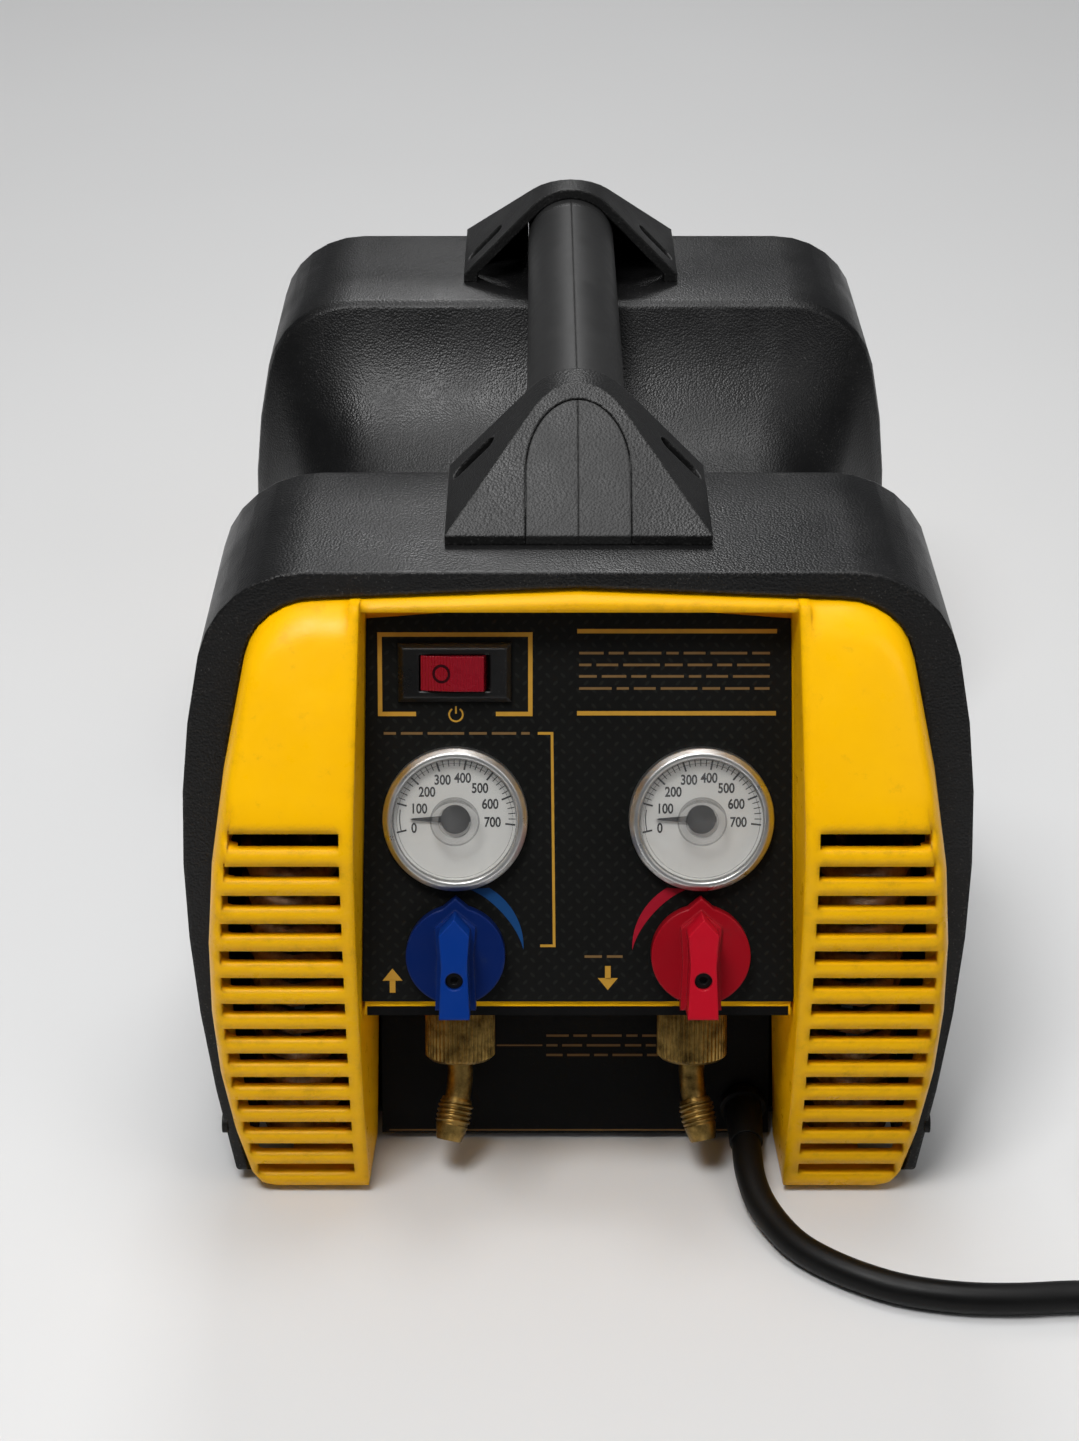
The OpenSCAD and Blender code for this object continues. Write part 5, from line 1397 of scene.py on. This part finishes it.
    def pointer_faces(self) -> None:
        """Make the needle's black face and the cap on its hub."""
        key = self.side.key
        blade = self.sheet(self.blade_out)
        blade.polygon(self.blade)
        blade.build(f"{key}_needle_blade", NEEDLE, f"{key}_pointer")
        cap = self.sheet(self.hub_out + self.lift)
        cap.arc((0, 0), self.hub_radius / 2, self.hub_radius - self.hub_hole, steps=48)
        cap.build(f"{key}_hub_cap", HUB, f"{key}_pointer")

    def shadow(self, ink: Print) -> None:
        """Draw the dark crescent of painted shadow that the boss's upper wall casts.

        Args:
            ink: Print that takes it.
        """
        steps = 24
        start, end = self.shadow_ends
        edges: tuple[list[Point2], list[Point2]] = ([], [])
        for i in range(steps + 1):
            angle = math.radians(start + (end - start) * i / steps)
            inner = self.shadow_radius - self.shadow_width * math.sin(math.pi * i / steps)
            for row, radius in zip(edges, (inner, self.shadow_radius)):
                row.append((radius * math.cos(angle), radius * math.sin(angle)))
        ink.band(*edges)


@dataclass
class ValveKnob(Assembly):
    """Coloured knob with its screw and the valve behind it.

    Attributes:
        side: Refrigerant side.
    """

    side: Side

    def dress(self) -> None:
        """Give the CAD nodes their finishes."""
        key = self.side.key
        dress(BLUE if self.side is Side.INLET else RED, f"{key}_knob")
        dress(BLACKED, f"{key}_knob_screw")
        dress(STEEL, f"{key}_valve_stem")
        dress(BRASS, f"{key}_valve_body")


@dataclass
class UnionPort(Assembly):
    """Knurled union nut with a bent tube that ends in a flare thread.

    All sizes are in mm, along or round the port's axis, and all angles in degrees.

    Attributes:
        side: Refrigerant side.
        back: Depth of its axis behind the plane.
        nut_top: Start of the nut.
        nut_length: Length of the nut.
        nut_radius: Radius over the knurl.
        nut_bore: Radius of the nut's thread.
        nut_mouth: Depth of the threaded end that is modelled.
        nut_seat: Depth of the other end's bore that is modelled.
        seat_gap: Gap between the nut and the tube.
        knurls: Number of knurl ridges.
        knurl_depth: Depth of the knurl.
        knurl_rise: Length that the knurl rises over.
        rim: Length of the plain rim at each end.
        top_chamfer: How far the rim draws in at the start.
        end_chamfer: How far the rim draws in at the end.
        tube_start: Start of the tube that is modelled.
        tube_radius: Radius of the tube.
        bore: Radius of the tube's bore.
        bore_depth: Depth of the bore.
        bend_start: Start of the bend.
        bend_radius: Radius of the bend.
        bend: Angle of the bend.
        splay: Turn of the bend outwards.
        flare_radius: Radius over the flare's thread.
        flare_root: Radius at the foot of the thread.
        flare_length: Length of the threaded part.
        collar: Start radius, end radius and length of the step before the thread.
        cone_length: Length of the plain nose.
        cone: Radii of the nose at its start, before its tip and at its tip.
        tip_length: Length of the rounded tip.
        pitch: Pitch of the thread.
        steepness: Slope of the thread's flanks against a plain triangle, whose crest it cuts flat.
        thread_start: Start of the thread after the step.
        thread_short: How much shorter the thread is than the threaded part.
        thread_fade: Number of rings over which the thread fades in and out.
    """

    side: Side
    back: float = 34.0
    nut_top: float = 8.0
    nut_length: float = 19.0
    nut_radius: float = 11.0
    nut_bore: float = 8.05
    nut_mouth: float = 6.0
    nut_seat: float = 3.0
    seat_gap: float = 0.05
    knurls: int = 46
    knurl_depth: float = 0.55
    knurl_rise: float = 0.5
    rim: float = 0.8
    top_chamfer: float = 0.6
    end_chamfer: float = 0.8
    tube_start: float = 18.4
    tube_radius: float = 4.0
    bore: float = 2.4
    bore_depth: float = 9.0
    bend_start: float = 31.0
    bend_radius: float = 24.0
    bend: float = 22.0
    splay: float = 32.0
    flare_radius: float = 5.55
    flare_root: float = 4.85
    flare_length: float = 8.5
    collar: Point3 = (4.6, 4.9, 0.9)
    cone_length: float = 5.0
    cone: Point3 = (5.1, 4.1, 3.7)
    tip_length: float = 0.4
    pitch: float = 1.6
    steepness: float = 1.3
    thread_start: float = 1.0
    thread_short: float = 1.2
    thread_fade: int = 5

    @property
    def bend_length(self) -> float:
        """Length of the tube's middle line round the bend, in mm."""
        return math.radians(self.bend) * self.bend_radius

    def dress(self) -> None:
        """Give the CAD nodes their finishes."""
        key = self.side.key
        dress(BRASS, f"{key}_nut", f"{key}_port_tube")
        dress(STEEL, f"{key}_filter")

    def build(self) -> None:
        """Make the knurled nut and the threaded tube."""
        key = self.side.key
        down = Matrix.Rotation(math.radians(90), 4, "X")
        place = PLANE.at(self.side.value * PLANE.half_span, 0, -self.back) @ down
        nut = self.nut(place)
        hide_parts(f"{key}_nut")
        tube = self.tube(place @ Matrix.Rotation(math.radians(-self.side.value * self.splay), 4, "Z"))
        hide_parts(f"{key}_port_tube")

    def nut(self, place: Matrix) -> bpy.types.Object:
        """Make the knurled nut.

        Args:
            place: Place of the port's axis.

        Returns:
            The nut.
        """
        top = self.nut_top
        end = top + self.nut_length
        foot = self.nut_radius - self.knurl_depth
        seat = self.tube_radius + self.seat_gap
        # Each row is a place along the axis, the radius of the ridges and the radius of the grooves
        rows: list[Point3] = [
            (top + self.nut_mouth, self.nut_bore, self.nut_bore),
            (top, self.nut_bore, self.nut_bore),
            (top, foot - self.top_chamfer, foot - self.top_chamfer),
            (top + self.rim, foot, foot),
            (top + self.rim + self.knurl_rise, self.nut_radius, foot),
            (end - self.rim - self.knurl_rise, self.nut_radius, foot),
            (end - self.rim, foot, foot),
            (end, foot - self.end_chamfer, foot - self.end_chamfer),
            (end, seat, seat),
            (end - self.nut_seat, seat, seat),
        ]
        # Of the four points across a knurl, two lie in the groove and two on the ridge
        count = self.knurls * 4
        rings: list[list[Vector]] = []
        for z, ridge, groove in rows:
            ring: list[Vector] = []
            for i in range(count):
                angle = math.tau * i / count
                radius = groove if i % 4 in (0, 1) else ridge
                ring.append(place @ Vector((radius * math.cos(angle), radius * math.sin(angle), z)))
            rings.append(ring)
        key = self.side.key
        return add_rings(f"{key}_knurled_nut", rings, BRASS, f"{key}_union", smooth=30)

    def tube(self, place: Matrix) -> bpy.types.Object:
        """Make the bent tube with its thread and nose.

        Args:
            place: Place of the port's axis, turned to the bend's plane.

        Returns:
            The tube.
        """
        count = 40
        side = Vector((1, 0, 0))
        rings: list[list[Vector]] = []
        for distance, radius, share in self.stations():
            middle, forward = self.axis(distance)
            up = forward.cross(side)
            ring: list[Vector] = []
            for i in range(count):
                angle = math.tau * i / count
                reach = radius + self.ridge(distance, angle) * share
                ring.append(place @ (middle + (side * math.cos(angle) + up * math.sin(angle)) * reach))
            rings.append(ring)
        key = self.side.key
        return add_rings(f"{key}_threaded_tube", rings, BRASS, f"{key}_port", smooth=40)

    def stations(self) -> list[Point3]:
        """List the places along the tube that have a ring of points.

        Returns:
            Rows of distance along the tube, radius there and share of the thread's full depth.
        """
        start = self.bend_start + self.bend_length
        tip = start + self.flare_length + self.cone_length
        rows: list[Point3] = [(self.tube_start, self.tube_radius, 0.0)]
        bends = 8
        for i in range(bends + 1):
            rows.append((self.bend_start + self.bend_length * i / bends, self.tube_radius, 0.0))
        collar_start, collar_end, collar_length = self.collar
        rows.append((start, collar_start, 0.0))
        rows.append((start + collar_length, collar_end, 0.0))
        steps = 44
        for i in range(steps + 1):
            distance = start + self.thread_start + (self.flare_length - self.thread_short) * i / steps
            share = min(1.0, i / self.thread_fade, (steps - i) / self.thread_fade)
            rows.append((distance, self.flare_root, share))
        places = (start + self.flare_length, tip - self.tip_length, tip)
        rows += [(distance, radius, 0.0) for distance, radius in zip(places, self.cone)]
        rows += [(tip, self.bore, 0.0), (tip - self.bore_depth, self.bore, 0.0)]
        return rows

    def ridge(self, distance: float, angle: float) -> float:
        """Height of the thread over its foot.

        Args:
            distance: Place along the tube, in mm.
            angle: Angle round the tube, in radians.

        Returns:
            The height there, in mm.
        """
        wave = (distance / self.pitch - angle / math.tau) % 1.0
        slope = 1 - abs(2 * wave - 1)
        return (self.flare_radius - self.flare_root) * min(1.0, slope * self.steepness)

    def axis(self, distance: float) -> tuple[Vector, Vector]:
        """Middle line of the tube.

        Args:
            distance: Place along it, in mm.

        Returns:
            The point there and the direction.
        """
        if distance <= self.bend_start:
            return Vector((0, 0, distance)), Vector((0, 0, 1))
        turn = min(distance - self.bend_start, self.bend_length) / self.bend_radius
        forward = Vector((0, math.sin(turn), math.cos(turn)))
        aside = self.bend_radius * (1 - math.cos(turn))
        along = self.bend_start + self.bend_radius * math.sin(turn)
        rest = distance - self.bend_start - turn * self.bend_radius
        return Vector((0, aside, along)) + forward * rest, forward


@dataclass
class PowerSwitch(Assembly):
    """Rocker switch with a ring mark.

    Attributes:
        up: Height of its centre on the plane, in mm.
        tilt: Tilt of the rocker at rest, in degrees.
        ridge: Height of the rocker's ridge over the plate, in mm.
        slope: Slope of each half of the rocker, in degrees.
        lift: Height of the ring mark over the rocker, in mm.
        ring_across: Place of the ring mark's centre along X from the ridge, in mm.
        ring_radius: Radius of the ring mark, in mm.
        ring_line: Width of its line, in mm.
    """

    up: float = 99.7
    tilt: float = 8.0
    ridge: float = 5.8
    slope: float = 8.516
    lift: float = 0.05
    ring_across: float = -3.1
    ring_radius: float = 2.4
    ring_line: float = 0.8

    def dress(self) -> None:
        """Give the CAD nodes their finishes."""
        dress(SWITCH, "switch_housing")
        dress(ROCKER, "switch_rocker")

    def build(self) -> None:
        """Make the ring mark on the rocker's pressed half."""
        lean = Matrix.Rotation(math.radians(-self.tilt), 4, "Y")
        slope = Matrix.Rotation(math.radians(-self.slope), 4, "Y")
        ridge = PLANE.at(-PLANE.half_span, self.up, PLANE.top) @ lean @ Matrix.Translation((0, 0, self.ridge))
        ring = Print(ridge @ slope @ Matrix.Translation((0, 0, self.lift)))
        ring.arc((self.ring_across, 0), self.ring_radius, self.ring_line, steps=32)
        ring.build("rocker_ring_mark", MARK_DARK, "rocker")


@dataclass
class Drive(Assembly):
    """Compressor, motor, fan, condenser coils and their lines."""

    def dress(self) -> None:
        """Give the CAD nodes their finishes."""
        cylinders = [f"{side}_cylinder{end}" for end in ("", "_head") for side in ("left", "right")]
        dress(ALLOY, "crankcase", *cylinders)
        dress(SWITCH, "motor_housing", "capacitor")
        dress(STEEL, "motor_shaft", "pressure_switch")
        dress(BLACKED, "chassis_tray", "fan_shroud")
        dress(FAN, "fan")
        dress(TARNISH, "left_condenser_coil", "right_condenser_coil")
        dress(COPPER, "suction_line", "discharge_line")
        dress(RUBBER, "vibration_mounts")
        soften(40, "left_condenser_coil", "right_condenser_coil", "suction_line")


@dataclass
class PowerCord(Assembly):
    """Mains lead: it leaves the recess, runs out of view and lies in a tied coil with its plug.

    Attributes:
        radius: Radius of the lead, in mm.
        centre: Centre of the coil on the floor, in mm.
        exit: Where the lead leaves the strain relief, in mm.
        tail_end: Where the plug starts, in mm.
        coil_step: Angle between the points round the coil, in degrees.
        spacing: Distance between the points of the smoothed line, in mm.
    """

    radius: float = 4.7
    centre: Point2 = (230.0, -199.0)
    exit: Point3 = (54.0, -168.0, 10.6)
    tail_end: Point3 = (290.0, -150.0, 4.7)
    coil_step: int = 5
    spacing: float = 3.0

    def dress(self) -> None:
        """Give the CAD nodes their finishes."""
        dress(RUBBER, "strain_relief", "power_cord", "cord_coil", "plug", "cord_tie")

    def run(self) -> list[Vector]:
        """Points from the strain relief to the coil.

        Returns:
            The points, in mm.
        """
        flat = self.radius
        route = (
            self.exit, (54, -175, 9.8), (54.5, -183, 8.4), (56.5, -192, 6.6), (60.5, -201, 5.3),
            (66.5, -210.5, flat), (75, -218.5, flat), (86, -225.5, flat), (98, -230.5, flat),
            (114, -233.5, flat), (130, -234, flat), (148, -233, flat), (164, -234, flat),
            (180, -238, flat), (196, -244, flat), (212, -248, flat),
        )
        return [Vector(point) for point in route]

    def coil(self) -> list[Vector]:
        """Points round the coil.

        Returns:
            The points, in mm.
        """
        low, high = self.radius, self.radius * 3
        start, end = 270, 1800
        # Knots of the turned angle in degrees with the radius, and with the height, in mm
        reaches = (
            (start, 51), (300, 50), (530, 50), (620, 40.6), (880, 40.6), (960, 45.3), (1290, 45.3),
            (1370, 55), (1640, 55), (1720, 63.5), (1735, 63.5), (end, 60),
        )
        heights = ((start, low), (840, low), (930, high), (1690, high), (1790, low), (end, low))
        points: list[Vector] = []
        for degrees in range(start, end, self.coil_step):
            angle = math.radians(degrees)
            reach = self.eased(reaches, degrees)
            points.append(Vector((
                self.centre[0] + reach * math.cos(angle),
                self.centre[1] + reach * math.sin(angle),
                self.eased(heights, degrees),
            )))
        return points

    def eased(self, knots: Sequence[Point2], place: float) -> float:
        """Value between knots, with a soft start and end on each stretch.

        Args:
            knots: Rows of place and value, in rising order of place.
            place: Where the value is wanted.

        Returns:
            The value there.
        """
        for (start, first), (end, last) in zip(knots, knots[1:]):
            if place <= end:
                share = (place - start) / (end - start)
                return first + (last - first) * share * share * (3 - 2 * share)
        return knots[-1][1]

    def path(self) -> list[Vector]:
        """The whole middle line, smoothed and evenly fine.

        Returns:
            The points, in metres.
        """
        x, y, z = self.tail_end
        start = self.centre[1]
        pieces = 8
        tail = [Vector((x, start + (y - start) * i / pieces, z)) for i in range(pieces + 1)]
        rough = self.run() + self.coil() + tail
        points: list[Vector] = []
        for i in range(len(rough) - 1):
            p0, p1 = rough[max(i - 1, 0)], rough[i]
            p2, p3 = rough[i + 1], rough[min(i + 2, len(rough) - 1)]
            steps = max(1, round((p2 - p1).length / self.spacing))
            for k in range(steps):
                # A Catmull-Rom curve runs through the points
                t = k / steps
                points.append(0.5 * (
                    2 * p1 + (p2 - p0) * t + (2 * p0 - 5 * p1 + 4 * p2 - p3) * t * t
                    + (3 * p1 - p0 - 3 * p2 + p3) * t * t * t
                ))
        points.append(rough[-1])
        return [p * MM for p in points]

    def build(self) -> None:
        """Make the lead as one curve."""
        points = self.path()
        curve = bpy.data.curves.new("mains_lead", "CURVE")
        curve.dimensions = "3D"
        curve.bevel_depth = self.radius * MM
        curve.bevel_resolution = 5
        curve.use_fill_caps = True
        line = curve.splines.new("POLY")
        line.points.add(len(points) - 1)
        for target, point in zip(line.points, points):
            target.co = (*point, 1.0)
        curve.materials.append(RUBBER.material())
        lead = bpy.data.objects.new("mains_lead", curve)
        bpy.context.scene.collection.objects.link(lead)
        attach(lead, CASE)
        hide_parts("power_cord", "cord_coil")


@dataclass(frozen=True)
class Lamp:
    """A soft square light.

    Attributes:
        name: Its name.
        place: Where it stands, in metres.
        aim: Point that it faces, in metres.
        size: Side of the square, in metres.
        power: Its power, in watts.
    """

    name: str
    place: Point3
    aim: Point3
    size: float
    power: float

    def build(self) -> None:
        """Add the light to the scene."""
        data = bpy.data.lights.new(self.name, "AREA")
        data.energy = self.power
        data.size = self.size
        lamp = bpy.data.objects.new(self.name, data)
        lamp.location = self.place
        lamp.rotation_mode = "QUATERNION"
        lamp.rotation_quaternion = (Vector(self.aim) - Vector(self.place)).to_track_quat("-Z", "Y")
        bpy.context.scene.collection.objects.link(lamp)
        LOG.info("lamp %s: %.0f W", self.name, self.power)


LAMPS = (
    Lamp("key", (-0.27, -0.62, 1.33), (0, -0.1, 0.1), size=0.42, power=13),
    Lamp("fill", (0.8, -0.8, 1.0), (0, -0.1, 0.1), size=0.6, power=2.0),
    Lamp("top", (0.1, 0.1, 1.4), (0, 0, 0.1), size=0.4, power=4),
    Lamp("back", (-0.1, 1.7, 1.8), (0, 0, 0.2), size=0.6, power=15),
    Lamp("panel", (0.0, 0.8, 4.0), (0.0, 0.8, 0.0), size=4.0, power=45),
)


@dataclass
class Studio:
    """Floor, lights, sky and camera.

    Attributes:
        eye: Place of the camera, in metres.
        look_down: Angle of the view below the horizon, in degrees.
        lens: Focal length, in mm.
        sensor: Long side of the sensor, in mm.
        clip: Nearest and farthest distance that the camera sees, in metres.
        floor_half: Half width of the floor, in metres.
        floor_tones: Darkest and lightest grey of the floor.
        floor_cloud: Size of the clouds in its tone, in mm.
        sky: Brightness of the sky.
        sky_colour: Colour of the sky.
    """

    eye: Point3 = (-0.0115, -0.7965, 0.527)
    look_down: float = 30.0
    lens: float = 63.18
    sensor: float = 36.0
    clip: Point2 = (0.01, 50.0)
    floor_half: float = 6.0
    floor_tones: Point2 = (0.62, 0.66)
    floor_cloud: float = 400.0
    sky: float = 0.11
    sky_colour: Colour = (0.9, 0.92, 0.95)

    def build(self) -> None:
        """Set up the whole studio."""
        self.camera()
        self.floor()
        self.world()
        for lamp in LAMPS:
            lamp.build()
        bpy.context.scene.view_settings.view_transform = "Standard"

    def camera(self) -> None:
        """Stand the camera where the photograph was taken."""
        data = bpy.data.cameras.new("camera")
        data.lens = self.lens
        data.sensor_width = self.sensor
        data.clip_start, data.clip_end = self.clip
        camera = bpy.data.objects.new("camera", data)
        camera.location = self.eye
        camera.rotation_euler = (math.radians(90 - self.look_down), 0, 0)
        bpy.context.scene.collection.objects.link(camera)
        bpy.context.scene.camera = camera
        LOG.info("camera at %s", self.eye)

    def floor(self) -> None:
        """Lay the plain pale floor."""
        shader = Shader("look_floor")
        dark, light = ((tone,) * 3 for tone in self.floor_tones)
        shader.set(Base_Color=shader.mix(shader.noise(self.floor_cloud), dark, light), Roughness=0.7)
        mesh = bpy.data.meshes.new("floor")
        half = self.floor_half
        corners = [(-half, -half, 0), (half, -half, 0), (half, half, 0), (-half, half, 0)]
        mesh.from_pydata(corners, [], [(0, 1, 2, 3)])
        mesh.materials.append(shader.material)
        floor = bpy.data.objects.new("floor", mesh)
        bpy.context.scene.collection.objects.link(floor)

    def world(self) -> None:
        """Light the scene softly from all round."""
        world = bpy.data.worlds.new("studio")
        world.use_nodes = True
        ground = world.node_tree.nodes["Background"]
        ground.inputs["Color"].default_value = (*self.sky_colour, 1.0)
        ground.inputs["Strength"].default_value = self.sky
        bpy.context.scene.world = world


@dataclass
class RecoveryMachine:
    """The whole dressed machine."""

    def parts(self) -> list[Assembly]:
        """List the sub-assemblies.

        Returns:
            The sub-assemblies, in the order they are built.
        """
        listed: list[Assembly] = [PowerCord(), Enclosure(), CarryHandle()]
        listed += [ControlLabel(), PowerSwitch(), Drive()]
        for side in Side:
            listed += [PressureGauge(side), ValveKnob(side), UnionPort(side)]
        return listed

    def build(self) -> None:
        """Dress and build every sub-assembly."""
        for part in self.parts():
            part.dress()
            part.build()
            LOG.info("%s done", type(part).__name__)


def write_sizes() -> None:
    """Update the view layer.
    """
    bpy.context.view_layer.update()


def main() -> None:
    """Build the studio and the machine."""
    logging.basicConfig(level=logging.INFO, format="%(name)s: %(message)s")
    Studio().build()
    RecoveryMachine().build()
    write_sizes()


if __name__ == "__main__":
    main()
